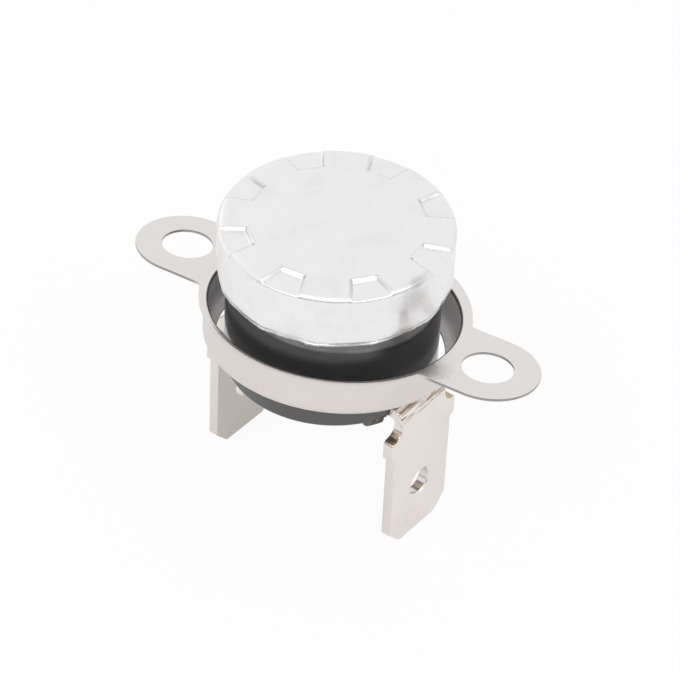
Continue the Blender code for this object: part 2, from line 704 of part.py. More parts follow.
def make_bracket(material):
    """The loose bracket: collar, lip, brim and both ears, drawn from one sheet."""
    bm = bmesh.new()
    rings = []
    for r, z in collar_section():
        rings.append([bm.verts.new((x, y, z)) for x, y in circle_points(0, 0, r, TURNED_SEGMENTS)])
    join_rings(bm, rings, wrap=False)
    outlines = [blank_outline()]
    for side in (1, -1):
        x = EAR_OFFSET[0] + side * EAR_HOLE_SPACING / 2
        outlines.append(circle_points(x, EAR_OFFSET[1], EAR_HOLE_RADIUS, SMALL_SEGMENTS))
    layers = []
    for z, bend in ((0, rings[-1]), (-SHEET, rings[0])):
        loops = [[bm.verts.new((x, y, z)) for x, y in outline] for outline in outlines]
        edges = []
        for loop in loops + [bend]:
            for i, vert in enumerate(loop):
                pair = (vert, loop[(i + 1) % len(loop)])
                edges.append(bm.edges.get(pair) or bm.edges.new(pair))
        bmesh.ops.triangle_fill(bm, use_beauty=True, edges=edges)
        layers.append(loops)
    for upper, lower in zip(*layers):
        join_rings(bm, [upper, lower], wrap=False)
    return new_object("bracket", bm, material)


def bracket_frame():
    """How the loose bracket has come to lie: tipped about its ears and turned on the housing."""
    tilt = Matrix.Rotation(-math.radians(BRACKET_TILT_DEG), 3, "X")
    turn = Matrix.Rotation(math.radians(BRACKET_TURN_DEG), 3, "Z")
    return turn @ tilt


def build():
    for obj in list(bpy.data.objects):
        bpy.data.objects.remove(obj)

    aluminium = colour_material("aluminium", (0.83, 0.83, 0.83), 0.35, 1.0)
    phenolic = colour_material("black phenolic", (0.012, 0.012, 0.013), 0.18, 0.0)
    steel = colour_material("bracket steel", (0.66, 0.63, 0.61), 0.32, 1.0)
    nickel = colour_material("nickel plate", (0.72, 0.68, 0.65), 0.25, 1.0)
    bimetal = colour_material("bimetal", (0.50, 0.48, 0.45), 0.35, 1.0)
    ceramic = colour_material("white ceramic", (0.85, 0.84, 0.80), 0.45, 0.0)
    insulation = colour_material("brown insulation", (0.22, 0.12, 0.06), 0.55, 0.0)
    bronze = colour_material("spring bronze", (0.72, 0.45, 0.20), 0.30, 1.0)
    brass = colour_material("brass", (0.75, 0.58, 0.26), 0.30, 1.0)
    silver = colour_material("contact silver", (0.86, 0.85, 0.82), 0.28, 1.0)

    make_cap(aluminium)
    make_disc(bimetal)
    make_guide(insulation)
    make_base(phenolic)
    make_contact_strip(brass)
    make_contact("fixed_contact", CONTACT_MEET_Z + CONTACT_GAP, -1, STRIP_THICKNESS, silver)
    make_rivet("left_rivet", -1, ARM_TOP_Z + FLEX_GAP, brass)
    make_rivet("right_rivet", 1, STRIP_TOP_Z + FIT, brass)
    make_tab("right_terminal", 1, nickel)
    make_tab("left_terminal", -1, nickel)

    pin_line = empty_at("pin_line", (0, 0, 0))
    hang_on(pin_line, [make_pin(ceramic)])

    arm_root = empty_at("arm_root", (-RIVET_REACH, 0, ARM_Z))
    arm = make_moving_arm(bronze)
    contact = make_contact("moving_contact", CONTACT_MEET_Z, 1, ARM_THICKNESS, silver)
    arm_pieces = [arm, contact] + [modifier.object for modifier in arm.modifiers]
    for obj in arm_pieces:
        obj.data.transform(Matrix.Translation((RIVET_REACH, 0, -ARM_Z)))
    hang_on(arm_root, arm_pieces)

    place = (*BRACKET_SHIFT, BRACKET_Z)
    bracket_axis = empty_at("bracket_axis", place, bracket_frame())
    hang_on(bracket_axis, [make_bracket(steel)])


build()
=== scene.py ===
# Thermal cutout, dressed for the photo's view: a round snap-disc switch with a bright aluminium cap,
# a glossy black housing, a loose steel bracket round it and two plated push-on tabs.
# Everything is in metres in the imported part's own frame, +Z up out of the cap's flat face.
import math

import bmesh
import bpy
from mathutils import Matrix, Vector


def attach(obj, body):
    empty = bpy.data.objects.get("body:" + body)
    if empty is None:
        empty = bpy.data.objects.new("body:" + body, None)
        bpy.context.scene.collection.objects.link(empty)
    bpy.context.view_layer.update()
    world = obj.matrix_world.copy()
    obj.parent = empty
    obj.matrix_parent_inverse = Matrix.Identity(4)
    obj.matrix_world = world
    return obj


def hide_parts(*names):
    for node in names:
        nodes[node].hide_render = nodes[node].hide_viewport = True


mm = 0.001
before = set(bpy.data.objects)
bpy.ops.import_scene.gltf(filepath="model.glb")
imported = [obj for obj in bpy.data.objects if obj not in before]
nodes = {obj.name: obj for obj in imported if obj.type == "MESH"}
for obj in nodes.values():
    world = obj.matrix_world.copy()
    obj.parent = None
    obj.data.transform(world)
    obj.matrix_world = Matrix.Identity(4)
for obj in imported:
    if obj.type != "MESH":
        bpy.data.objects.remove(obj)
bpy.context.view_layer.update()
print("frame loaded:", len(nodes), "nodes")


# Camera, at the place the photo was taken from

view = {
    "place": (0.100308, -0.133581, 0.13446),
    "right": (0.78092, 0.62346, 0.03824),
    "up": (-0.43178, 0.49456, 0.75431),
    "back": (0.45137, -0.60557, 0.65541),
    "lens": 169.0,
    "sensor": 36.0,
    "clip": (0.01, 20.0),
}


def addObject(name, data):
    obj = bpy.data.objects.new(name, data)
    bpy.context.scene.collection.objects.link(obj)
    return obj


def makeCamera():
    data = bpy.data.cameras.new("camera")
    data.lens = view["lens"]
    data.sensor_width = view["sensor"]
    data.clip_start, data.clip_end = view["clip"]
    camera = addObject("camera", data)
    turn = Matrix((view["right"], view["up"], view["back"])).transposed()
    camera.matrix_world = Matrix.Translation(view["place"]) @ turn.to_4x4()
    bpy.context.scene.camera = camera


makeCamera()


# Small helpers for node trees, used by shaders and Geometry Nodes alike

def feed(tree, socket, value):
    if isinstance(value, bpy.types.NodeSocket):
        tree.links.new(value, socket)
    else:
        socket.default_value = value


def addNode(tree, kind, **inputs):
    # the inputs are fed by their labels, and the node's outputs come back
    node = tree.nodes.new(kind)
    for name, value in inputs.items():
        feed(tree, node.inputs[name.replace("_", " ")], value)
    return node.outputs


def operate(tree, kind, operation, values):
    node = tree.nodes.new(kind)
    node.operation = operation
    for socket, value in zip(node.inputs, values):
        feed(tree, socket, value)
    return node.outputs


def calc(tree, operation, *values):
    return operate(tree, "ShaderNodeMath", operation, values)[0]


def vectorCalc(tree, operation, *values):
    made = operate(tree, "ShaderNodeVectorMath", operation, values)
    return made["Value" if operation in ("LENGTH", "DOT_PRODUCT") else "Vector"]


def times(tree, first, *others):
    for other in others:
        first = calc(tree, "MULTIPLY", first, other)
    return first


def plus(tree, first, second):
    return calc(tree, "ADD", first, second)


def minus(tree, first, second):
    return calc(tree, "SUBTRACT", first, second)


def gap(tree, first, second):
    # how far apart two values are, without a sign
    return calc(tree, "ABSOLUTE", minus(tree, first, second))


def coordinates(tree, kind="Object"):
    return addNode(tree, "ShaderNodeTexCoord")[kind]


def apart(tree, vector):
    return addNode(tree, "ShaderNodeSeparateXYZ", Vector=vector)


def polar(tree, x, y):
    radius = calc(tree, "SQRT", plus(tree, times(tree, x, x), times(tree, y, y)))
    return calc(tree, "ARCTAN2", y, x), radius


def noise(tree, place, scale, detail, roughness=0.5):
    return addNode(tree, "ShaderNodeTexNoise", Vector=place, Scale=scale, Detail=detail,
                   Roughness=roughness)[0]


def ramp(tree, value, low, high, toLow=0.0, toHigh=1.0, smooth=True):
    node = tree.nodes.new("ShaderNodeMapRange")
    node.interpolation_type = "SMOOTHSTEP" if smooth else "LINEAR"
    for name, number in (("Value", value), ("From Min", low), ("From Max", high),
                         ("To Min", toLow), ("To Max", toHigh)):
        feed(tree, node.inputs[name], number)
    return node.outputs["Result"]


def mixColours(tree, share, first, second):
    node = tree.nodes.new("ShaderNodeMix")
    node.data_type = "RGBA"
    feed(tree, node.inputs[0], share)
    for socket, colour in ((node.inputs[6], first), (node.inputs[7], second)):
        feed(tree, socket, colour if isinstance(colour, bpy.types.NodeSocket) else (*colour, 1.0))
    return node.outputs[2]


def openGroup(name, kind, inputs, outputs):
    # inputs are labels with their values, or with a word for a socket that has none
    tree = bpy.data.node_groups.new(name, kind)
    for label, value in inputs.items():
        word = value if isinstance(value, str) else "Vector" if isinstance(value, tuple) else "Float"
        socket = tree.interface.new_socket(label, in_out="INPUT", socket_type="NodeSocket" + word)
        if word != value:
            socket.default_value = value
    for label, word in outputs.items():
        tree.interface.new_socket(label, in_out="OUTPUT", socket_type="NodeSocket" + word)
    return tree, tree.nodes.new("NodeGroupInput").outputs, tree.nodes.new("NodeGroupOutput").inputs


# Shader effects that several finishes share

def makeReliefGroup():
    # fine rolling grain and slow waves in the sheet, as one bump
    tree, given, out = openGroup("sheetRelief", "ShaderNodeTree", {
        "Grain Scale": 9000.0, "Grain Stretch": (1.0, 1.0, 1.0), "Grain Depth": 0.000004,
        "Wave Scale": 350.0, "Wave Depth": 0.00001,
    }, {"Normal": "Vector", "Grain": "Float"})
    place = coordinates(tree)
    stretched = vectorCalc(tree, "MULTIPLY", place, given["Grain Stretch"])
    grain = noise(tree, stretched, given["Grain Scale"], 4.0, 0.6)
    wave = noise(tree, place, given["Wave Scale"], 1.5)
    fine = addNode(tree, "ShaderNodeBump", Strength=1.0, Distance=given["Grain Depth"], Height=grain)[0]
    wide = addNode(tree, "ShaderNodeBump", Strength=1.0, Distance=given["Wave Depth"], Height=wave,
                   Normal=fine)[0]
    feed(tree, out["Normal"], wide)
    feed(tree, out["Grain"], grain)
    return tree


def makeSmudgeGroup():
    # soft cloudy marks from rolling, plating and handling
    tree, given, out = openGroup("patches", "ShaderNodeTree", {
        "Scale": 400.0, "Seed": 0.0, "Low": 0.4, "High": 0.7,
    }, {"Mask": "Float"})
    cloud = tree.nodes.new("ShaderNodeTexNoise")
    cloud.noise_dimensions = "4D"
    for name, value in (("Vector", coordinates(tree)), ("W", given["Seed"]), ("Scale", given["Scale"]),
                        ("Detail", 3.0), ("Distortion", 0.6)):
        feed(tree, cloud.inputs[name], value)
    feed(tree, out["Mask"], ramp(tree, cloud.outputs[0], given["Low"], given["High"]))
    return tree


def makeSpotGroup():
    # a soft spot with a cloudy edge
    tree, given, out = openGroup("spot", "ShaderNodeTree", {
        "Place": (0.0, 0.0, 0.0), "Reach": (1.0, 1.0, 1.0),
        "Cloud Scale": 900.0, "Cloud Share": 0.9, "Full": 0.6, "Gone": 1.4,
    }, {"Mask": "Float"})
    place = coordinates(tree)
    away = vectorCalc(tree, "DIVIDE", vectorCalc(tree, "SUBTRACT", place, given["Place"]), given["Reach"])
    cloud = times(tree, noise(tree, place, given["Cloud Scale"], 2.0), given["Cloud Share"])
    edge = plus(tree, vectorCalc(tree, "LENGTH", away), cloud)
    feed(tree, out["Mask"], ramp(tree, edge, given["Full"], given["Gone"], 1.0, 0.0))
    return tree


reliefGroup = makeReliefGroup()
smudgeGroup = makeSmudgeGroup()
spotGroup = makeSpotGroup()


# Finishes

commonLook = {
    "metallic": 1.0, "roughness": 0.28, "spread": 0.05, "cloudRoughness": 0.05,
    "cloudScale": 500.0, "cloudLow": 0.42, "cloudHigh": 0.75, "grainScale": 7000.0,
    "stretch": (1.0, 1.0, 1.0), "grainDepth": 0.000003, "waveScale": 600.0, "waveDepth": 0.00001,
}
looks = {
    # what differs from the common look
    "aluminium": {
        "colour": (0.88, 0.88, 0.88), "cloudColour": (0.845, 0.845, 0.85), "roughness": 0.27, "spread": 0.008,
        "seed": 1.3, "cloudScale": 420.0, "cloudLow": 0.45, "cloudHigh": 0.70, "grainScale": 6000.0,
        "stretch": (1.0, 0.35, 1.0), "grainDepth": 0.00000018, "waveScale": 300.0, "waveDepth": 0.00003,
    },
    "steel": {
        "colour": (0.745, 0.695, 0.675), "cloudColour": (0.71, 0.655, 0.635), "roughness": 0.26,
        "spread": 0.008, "cloudRoughness": 0.04, "seed": 4.1, "cloudScale": 260.0,
        "stretch": (0.4, 1.0, 1.0), "grainDepth": 0.0000003, "waveScale": 180.0,
    },
    "plating": {
        "colour": (0.845, 0.79, 0.76), "cloudColour": (0.81, 0.748, 0.71), "roughness": 0.24,
        "spread": 0.008, "seed": 7.7, "cloudScale": 320.0, "grainScale": 6000.0,
        "stretch": (1.0, 1.0, 0.35), "grainDepth": 0.0000002, "waveScale": 500.0,
    },
    "bimetal": {
        "colour": (0.50, 0.48, 0.45), "cloudColour": (0.42, 0.36, 0.28), "roughness": 0.34,
        "cloudRoughness": 0.08, "seed": 2.2, "cloudScale": 300.0, "stretch": (1.0, 0.3, 1.0),
        "waveScale": 300.0,
    },
    "bronze": {
        "colour": (0.72, 0.45, 0.20), "cloudColour": (0.55, 0.33, 0.15),
        "cloudRoughness": 0.08, "seed": 3.2, "cloudScale": 400.0, "stretch": (0.3, 1.0, 1.0),
        "waveScale": 400.0,
    },
    "brass": {
        "colour": (0.75, 0.58, 0.26), "cloudColour": (0.60, 0.44, 0.20),
        "cloudRoughness": 0.10, "seed": 5.4, "cloudLow": 0.40,
    },
    "silver": {
        "colour": (0.86, 0.85, 0.82), "cloudColour": (0.62, 0.58, 0.52), "roughness": 0.26,
        "cloudRoughness": 0.10, "seed": 6.1, "cloudScale": 700.0, "cloudLow": 0.45, "cloudHigh": 0.8,
        "grainScale": 9000.0, "grainDepth": 0.000002,
    },
    "ceramic": {
        "colour": (0.85, 0.84, 0.80), "cloudColour": (0.80, 0.78, 0.72), "metallic": 0.0, "roughness": 0.42,
        "spread": 0.04, "seed": 8.8, "grainScale": 9000.0, "grainDepth": 0.000005,
    },
    "insulation": {
        "colour": (0.22, 0.12, 0.06), "cloudColour": (0.16, 0.085, 0.04), "metallic": 0.0, "roughness": 0.55,
        "seed": 9.9, "cloudScale": 700.0, "cloudLow": 0.40, "grainScale": 5000.0,
        "stretch": (1.0, 0.2, 1.0), "grainDepth": 0.000008, "waveScale": 400.0,
    },
    "phenolic": {
        "colour": (0.020, 0.020, 0.020), "cloudColour": (0.029, 0.028, 0.028), "metallic": 0.0,
        "roughness": 0.13, "spread": 0.02, "seed": 0.4, "grainScale": 8000.0, "grainDepth": 0.000002,
        "waveScale": 250.0,
    },
}


def placeGroup(tree, group, **values):
    node = tree.nodes.new("ShaderNodeGroup")
    node.node_tree = group
    for name, value in values.items():
        feed(tree, node.inputs[name.replace("_", " ")], value)
    return node.outputs


def newFinish(name):
    material = bpy.data.materials.new(name)
    material.use_nodes = True
    tree = material.node_tree
    return material, tree, tree.nodes["Principled BSDF"].inputs


def makeFinish(name, look):
    # two close tones clouded into each other, with a fine grain and slow waves
    material, tree, shader = newFinish(name)
    cloud = placeGroup(tree, smudgeGroup, Scale=look["cloudScale"], Seed=look["seed"],
                       Low=look["cloudLow"], High=look["cloudHigh"])["Mask"]
    relief = placeGroup(tree, reliefGroup, Grain_Scale=look["grainScale"], Grain_Stretch=look["stretch"],
                        Grain_Depth=look["grainDepth"], Wave_Scale=look["waveScale"],
                        Wave_Depth=look["waveDepth"])
    feed(tree, shader["Base Color"], mixColours(tree, cloud, look["colour"], look["cloudColour"]))
    grainRoughness = ramp(tree, relief["Grain"], 0.3, 0.7, look["roughness"] - look["spread"],
                          look["roughness"] + look["spread"], smooth=False)
    feed(tree, shader["Roughness"], plus(tree, grainRoughness, times(tree, cloud, look["cloudRoughness"])))
    feed(tree, shader["Normal"], relief["Normal"])
    shader["Metallic"].default_value = look["metallic"]
    return material, tree, shader


def tint(tree, shader, mask, shade):
    # what feeds the shader's colour, covered by a shade where the mask is white; one number is a grey
    if isinstance(shade, float):
        shade = (shade,) * 3
    before = shader["Base Color"].links[0].from_socket
    feed(tree, shader["Base Color"], mixColours(tree, mask, before, shade))


finishes = {}
shaders = {}
for name, look in looks.items():
    finishes[name], *shaders[name] = makeFinish(name, {**commonLook, **look})
print("finishes made:", len(finishes))


# Small helpers for shapes, which are drawn in millimetres

rolledEdge = ((0.0, 1.0), (0.13, 0.5), (0.5, 0.13), (1.0, 0.0))  # up from a low edge, and how far drawn in


def roundedPath(corners, closed=False, step=10.0):
    # corners are (x, y, radius); each round one becomes an arc
    points = []
    count = len(corners)
    for i, (x, y, radius) in enumerate(corners):
        here = Vector((x, y))
        if radius <= 0 or (not closed and i in (0, count - 1)):
            points.append((x, y))
            continue
        before = (Vector(corners[i - 1][:2]) - here).normalized()
        after = (Vector(corners[(i + 1) % count][:2]) - here).normalized()
        half = before.angle(after) / 2
        centre = here + (before + after).normalized() * (radius / math.sin(half))
        start = here + before * (radius / math.tan(half)) - centre
        turn = math.pi - 2 * half
        if before.x * after.y - before.y * after.x > 0:
            turn = -turn
        steps = max(2, math.ceil(abs(math.degrees(turn)) / step))
        for k in range(steps + 1):
            spun = start.copy()
            spun.rotate(Matrix.Rotation(turn * k / steps, 2))
            points.append(tuple(centre + spun))
    return points


def quarter(steps, first=0):
    # the sine and cosine at each step of a quarter turn
    angles = [math.radians(90 * k / steps) for k in range(first, steps + 1)]
    return [(math.sin(a), math.cos(a)) for a in angles]


def circle(x, y, radius, segments):
    angles = [2 * math.pi * k / segments for k in range(segments)]
    return [(x + radius * math.cos(a), y + radius * math.sin(a)) for a in angles]


def spread(points, longest):
    # extra points on the straight runs, none further apart than longest
    made = [points[0]]
    for a, b in zip(points, points[1:]):
        parts = max(1, math.ceil(math.dist(a, b) / longest))
        for k in range(1, parts + 1):
            made.append((a[0] + (b[0] - a[0]) * k / parts, a[1] + (b[1] - a[1]) * k / parts))
    return made


def inset(outline, amount):
    # the outline moved to its left, which is inwards where it runs anticlockwise
    made = []
    count = len(outline)
    for i, (x, y) in enumerate(outline):
        ax, ay = outline[i - 1]
        bx, by = outline[(i + 1) % count]
        run = Vector((bx - ax, by - ay)).normalized()
        made.append((x - run.y * amount, y + run.x * amount))
    return made


def joinRings(bm, rings):
    for upper, lower in zip(rings, rings[1:]):
        count = max(len(upper), len(lower))
        for k in range(count):
            n = (k + 1) % count
            if len(upper) == 1:
                bm.faces.new((upper[0], lower[k], lower[n]))
            elif len(lower) == 1:
                bm.faces.new((upper[k], lower[0], upper[n]))
            else:
                bm.faces.new((upper[k], lower[k], lower[n], upper[n]))


def turnedShape(profile, segments):
    # a solid of revolution from (r, z) points, with a single point where the profile meets the axis
    bm = bmesh.new()
    rings = []
    for r, z in profile:
        ring = [(0, 0)] if r == 0 else circle(0, 0, r, segments)
        rings.append([bm.verts.new((x, y, z)) for x, y in ring])
    joinRings(bm, rings)
    return bm


def stackedShape(rings):
    # a solid from rings of points, closed by the first and the last
    bm = bmesh.new()
    rings = [[bm.verts.new(point) for point in ring] for ring in rings]
    bm.faces.new(rings[0])
    bm.faces.new(rings[-1])
    joinRings(bm, rings)
    return bm


def smoothOver(mesh, smooth):
    mesh.shade_smooth()
    mesh.set_sharp_from_angle(angle=math.radians(smooth))


def newPiece(name, bm, finish, smooth=32.0, place=None):
    # the drawn shape as an object at the origin, its place in its mesh, its faces outwards
    bmesh.ops.recalc_face_normals(bm, faces=bm.faces)
    bmesh.ops.scale(bm, vec=(mm, mm, mm), verts=bm.verts)
    if place:
        bmesh.ops.transform(bm, matrix=place, verts=bm.verts)
    mesh = bpy.data.meshes.new(name)
    bm.to_mesh(mesh)
    bm.free()
    smoothOver(mesh, smooth)
    if finish:
        mesh.materials.append(finish)
    return addObject(name, mesh)


def bake(obj, smooth=None):
    # what the modifiers make becomes the plain mesh, and the modifiers go
    graph = bpy.context.evaluated_depsgraph_get()
    mesh = bpy.data.meshes.new_from_object(obj.evaluated_get(graph), depsgraph=graph)
    obj.modifiers.clear()
    obj.data = mesh
    if smooth:
        smoothOver(mesh, smooth)


def carve(obj, tool, operation="DIFFERENCE"):
    modifier = obj.modifiers.new(operation.lower(), "BOOLEAN")
    modifier.operation = operation
    modifier.solver = "EXACT"
    modifier.object = tool
    return tool


def evenShading(obj):
    # flat faces keep flat shading beside their small edge rounds
    modifier = obj.modifiers.new("evenShading", "WEIGHTED_NORMAL")
    modifier.keep_sharp = True
    modifier.weight = 80
    bake(obj)


def growNodes(obj, tree, inputs):
    # a Geometry Nodes modifier, its inputs set by their identifiers before it is evaluated
    modifier = obj.modifiers.new(tree.name, "NODES")
    modifier.node_group = tree
    for item in tree.interface.items_tree:
        if item.item_type == "SOCKET" and item.in_out == "INPUT" and item.name in inputs:
            modifier[item.identifier] = inputs[item.name]


# Cap: a drawn cup whose rim pads and crimped edge are pressed by a Geometry Nodes tree

cap = {
    "radius": 8.1, "height": 4.45, "sheet": 0.30, "edgeRound": 0.50, "crimpRound": 0.42,
    "crimpInside": 7.51, "segments": 600, "plainRings": (0, 1.5, 3.0, 4.2), "fineFrom": 5.4, "grid": 0.045,
    "fineBelow": -3.7, "sideGrid": 0.3, "innerRound": 0.2, "innerFlat": 5.2, "innerRing": 3.0,
    "innerGrid": 0.35,
    # what follows is fed to the pressing tree, in metres
    "Pads": 8, "Pad Phase": math.radians(10.4), "Pad Start": 6.0 * mm, "Pad Inner Half": 0.95 * mm,
    "Pad Flare": 0.31, "Pad Corner": 0.12 * mm, "Pad Depth": 0.24 * mm, "Pad Draft": 0.25 * mm,
    "Pad Round": 0.22 * mm, "Rim From": 1.3 * mm, "Rim Full": 1.8 * mm,
    "Flats": 12, "Flat Depth": 0.08 * mm, "Edge Waviness": 0.14 * mm, "Edge Full": 0.3 * mm,
    "Edge Gone": 1.2 * mm, "Edge Lift": 0.7, "Step Height": 0.025 * mm, "Step From": 0.53, "Step Full": 0.56,
    "Crease Level": -3.97 * mm, "Crease Depth": 0.11 * mm, "Crease Width": 0.055 * mm,
}
capMarks = {
    # darker patches on the cap's side and near its rim: place, reach, shade
    "patches": [
        ((0.00785, -0.0020, -0.0016), (0.0016, 0.0017, 0.0022), 0.80),
        ((0.00773, -0.00245, -0.0026), (0.0009, 0.0006, 0.0018), 0.80),
        ((0.0079, -0.0012, -0.0001), (0.0007, 0.0017, 0.0005), 0.74),
    ],
    # a pair is where a mask starts and where it is full or gone
    "driftScale": 350.0, "drift": (0.35, 0.6),
    "seamLevel": -0.00397, "seamWander": 0.00005, "seam": (0.00002, 0.00008), "seamLeast": 0.55,
    "seamShade": 0.30,
    "top": (-0.00042, -0.00032), "tickInset": 0.00010, "tickReach": 0.00017, "tickShade": 0.46,
    "lineOut": -0.00002, "line": (0.00002, 0.00007), "lineLeast": 0.45, "lineShade": 0.74,
    "wallFrom": (0.00003, 0.00008), "wallTo": (0.00020, 0.00028), "wallStart": (0.00010, 0.00025),
    "wallFade": (0.0008, 0.0016), "wallLeast": 0.25, "wallShade": 0.62,
}


def padOutline(tree, angle, radius, given):
    # how far a point lies in from its nearest pad's inner edge, off the pad's middle, and in from its sides
    share = calc(tree, "DIVIDE", math.pi, given["Pads"])
    local = calc(tree, "WRAP", minus(tree, angle, given["Pad Phase"]), share, times(tree, share, -1.0))
    inward = minus(tree, times(tree, radius, calc(tree, "COSINE", local)), given["Pad Start"])
    across = calc(tree, "ABSOLUTE", times(tree, radius, calc(tree, "SINE", local)))
    half = plus(tree, given["Pad Inner Half"], times(tree, inward, given["Pad Flare"]))
    return inward, across, minus(tree, half, across)


def dressAluminium():
    m = capMarks
    tree, shader = shaders["aluminium"]
    # darker patches, each a soft spot mixed towards black
    for spotPlace, spotReach, spotShade in m["patches"]:
        spot = placeGroup(tree, spotGroup, Place=spotPlace, Reach=spotReach)["Mask"]
        tint(tree, shader, times(tree, spot, 1.0 - spotShade), 0.0)
    # the seam above the crimped lip holds a thin shadow
    place = coordinates(tree)
    x, y, z = apart(tree, place)
    drift = noise(tree, place, m["driftScale"], 2.0)
    level = plus(tree, z, times(tree, minus(tree, drift, 0.5), m["seamWander"]))
    seam = times(tree, ramp(tree, gap(tree, level, m["seamLevel"]), *m["seam"], 1.0, 0.0),
                 ramp(tree, drift, *m["drift"], m["seamLeast"], 1.0))
    tint(tree, shader, seam, m["seamShade"])
    # a tick of shadow at each pad's two inner corners
    inward, across, sideways = padOutline(tree, *polar(tree, x, y), cap)
    onTop = ramp(tree, z, *m["top"])
    away = plus(tree, gap(tree, inward, m["tickInset"]),
                gap(tree, across, cap["Pad Inner Half"] - m["tickInset"]))
    tick = times(tree, ramp(tree, away, m["tickReach"] * 0.4, m["tickReach"], 1.0, 0.0), onTop)
    tint(tree, shader, tick, m["tickShade"])
    # painted shade: a fine grey line round each pad, and darker side walls that fade towards the rim
    off = gap(tree, calc(tree, "MINIMUM", inward, sideways), m["lineOut"])
    patchy = ramp(tree, drift, *m["drift"], m["lineLeast"], 1.0)
    tint(tree, shader, times(tree, ramp(tree, off, *m["line"], 1.0, 0.0), patchy, onTop), m["lineShade"])
    wall = times(tree, ramp(tree, sideways, *m["wallFrom"]), ramp(tree, sideways, *m["wallTo"], 1.0, 0.0),
                 ramp(tree, inward, *m["wallStart"]), ramp(tree, inward, *m["wallFade"], 1.0, m["wallLeast"]),
                 patchy, onTop)
    tint(tree, shader, wall, m["wallShade"])


def capMesh():
    c = cap
    inside = c["radius"] - c["sheet"]
    top = -c["height"] + c["sheet"]
    outer = roundedPath([
        (0, 0, 0),
        (c["radius"], 0, c["edgeRound"]),
        (c["radius"], -c["height"], c["crimpRound"]),
        (c["crimpInside"], -c["height"], 0),
    ], step=7.0)
    split = next(i for i, point in enumerate(outer) if point[1] < c["fineBelow"])
    rim, crimp = outer[1:split], outer[split:]
    outer = [(r, 0) for r in c["plainRings"]] + spread([(c["fineFrom"], 0)] + rim, c["grid"])
    outer += spread([rim[-1], (c["radius"], c["fineBelow"])], c["sideGrid"])[1:]
    outer += spread([(c["radius"], c["fineBelow"])] + crimp, c["grid"] / 2)[1:]
    inner = roundedPath([
        (c["crimpInside"], top, 0),
        (inside, top, 0),
        (inside, -c["sheet"], c["innerRound"]),
        (c["innerFlat"], -c["sheet"], 0),
    ], step=20.0)
    inner = [inner[0]] + spread(inner[1:], c["innerGrid"]) + [(c["innerRing"], -c["sheet"]), (0, -c["sheet"])]
    obj = newPiece("capShell", turnedShape(outer + inner, c["segments"]), None, smooth=40.0)
    skin = obj.data.attributes.new("inner", "FLOAT", "POINT")
    outerCount = 1 + (len(outer) - 1) * c["segments"]
    skin.data.foreach_set("value", [0.0 if i < outerCount else 1.0 for i in range(len(obj.data.vertices))])
    return obj


def makePressTree(sizes):
    tree, given, out = openGroup("pressedCup", "GeometryNodeTree", {
        "Geometry": "Geometry", **sizes, "Material": "Material",
    }, {"Geometry": "Geometry"})
    x, y, z = apart(tree, addNode(tree, "GeometryNodeInputPosition")[0])
    angle, radius = polar(tree, x, y)
    inner = addNode(tree, "GeometryNodeInputNamedAttribute", Name="inner")[0]
    # the pads, pressed down with sloping walls into both skins
    inward, _, sideways = padOutline(tree, angle, radius, given)
    within = calc(tree, "SMOOTH_MIN", inward, sideways, given["Pad Corner"])
    pressed = ramp(tree, within, 0.0, given["Pad Draft"])
    limit = minus(tree, times(tree, inner, times(tree, given["Sheet"], -1.0)),
                  times(tree, pressed, given["Pad Depth"]))
    nearRim = ramp(tree, radius, plus(tree, given["Pad Start"], given["Rim From"]),
                   plus(tree, given["Pad Start"], given["Rim Full"]))
    lowered = calc(tree, "SMOOTH_MIN", z, limit, times(tree, nearRim, given["Pad Round"]))
    # the crimping tool's flats, an uneven edge and the crease above it
    flats = minus(tree, 0.5, times(tree, 0.5, calc(tree, "COSINE", times(tree, angle, given["Flats"]))))
    around = addNode(tree, "ShaderNodeCombineXYZ", X=calc(tree, "COSINE", angle),
                     Y=calc(tree, "SINE", angle))[0]
    waviness = times(tree, minus(tree, noise(tree, around, 4.0, 2.5, 0.55), 0.5), given["Edge Waviness"])
    nearEdge = ramp(tree, z, plus(tree, given["Edge Level"], given["Edge Full"]),
                    plus(tree, given["Edge Level"], given["Edge Gone"]), 1.0, 0.0)
    outerSkin = minus(tree, 1.0, inner)
    edgeShare = times(tree, nearEdge, outerSkin)
    steps = ramp(tree, noise(tree, around, 6.0, 0.0), given["Step From"], given["Step Full"])
    push = plus(tree, times(tree, flats, given["Flat Depth"]),
                plus(tree, calc(tree, "ABSOLUTE", waviness), times(tree, steps, given["Step Height"])))
    offCrease = calc(tree, "DIVIDE", minus(tree, z, given["Crease Level"]), given["Crease Width"])
    crease = calc(tree, "EXPONENT", times(tree, offCrease, offCrease, -1.0))
    shrink = plus(tree, times(tree, push, edgeShare), times(tree, crease, given["Crease Depth"], outerSkin))
    scale = calc(tree, "DIVIDE", minus(tree, radius, shrink), calc(tree, "MAXIMUM", radius, 0.000001))
    lift = times(tree, edgeShare, times(tree, push, given["Edge Lift"]))
    moved = addNode(tree, "ShaderNodeCombineXYZ", X=times(tree, x, scale), Y=times(tree, y, scale),
                    Z=plus(tree, lowered, lift))[0]
    placed = addNode(tree, "GeometryNodeSetPosition", Geometry=given["Geometry"], Position=moved)[0]
    realized = addNode(tree, "GeometryNodeRealizeInstances", Geometry=placed)[0]
    painted = addNode(tree, "GeometryNodeSetMaterial", Geometry=realized, Material=given["Material"])[0]
    feed(tree, out["Geometry"], painted)
    return tree


def makeCap():
    obj = capMesh()
    sizes = {label: float(value) for label, value in cap.items() if label[0].isupper()}
    sizes.update({"Sheet": cap["sheet"] * mm, "Edge Level": -cap["height"] * mm})
    growNodes(obj, makePressTree(sizes), {**sizes, "Material": finishes["aluminium"]})
    bake(obj, smooth=75.0)
    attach(obj, "housing")
    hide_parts("cap")


dressAluminium()
makeCap()
print("cap pressed")


# Housing: the black moulding with its channels and low feet

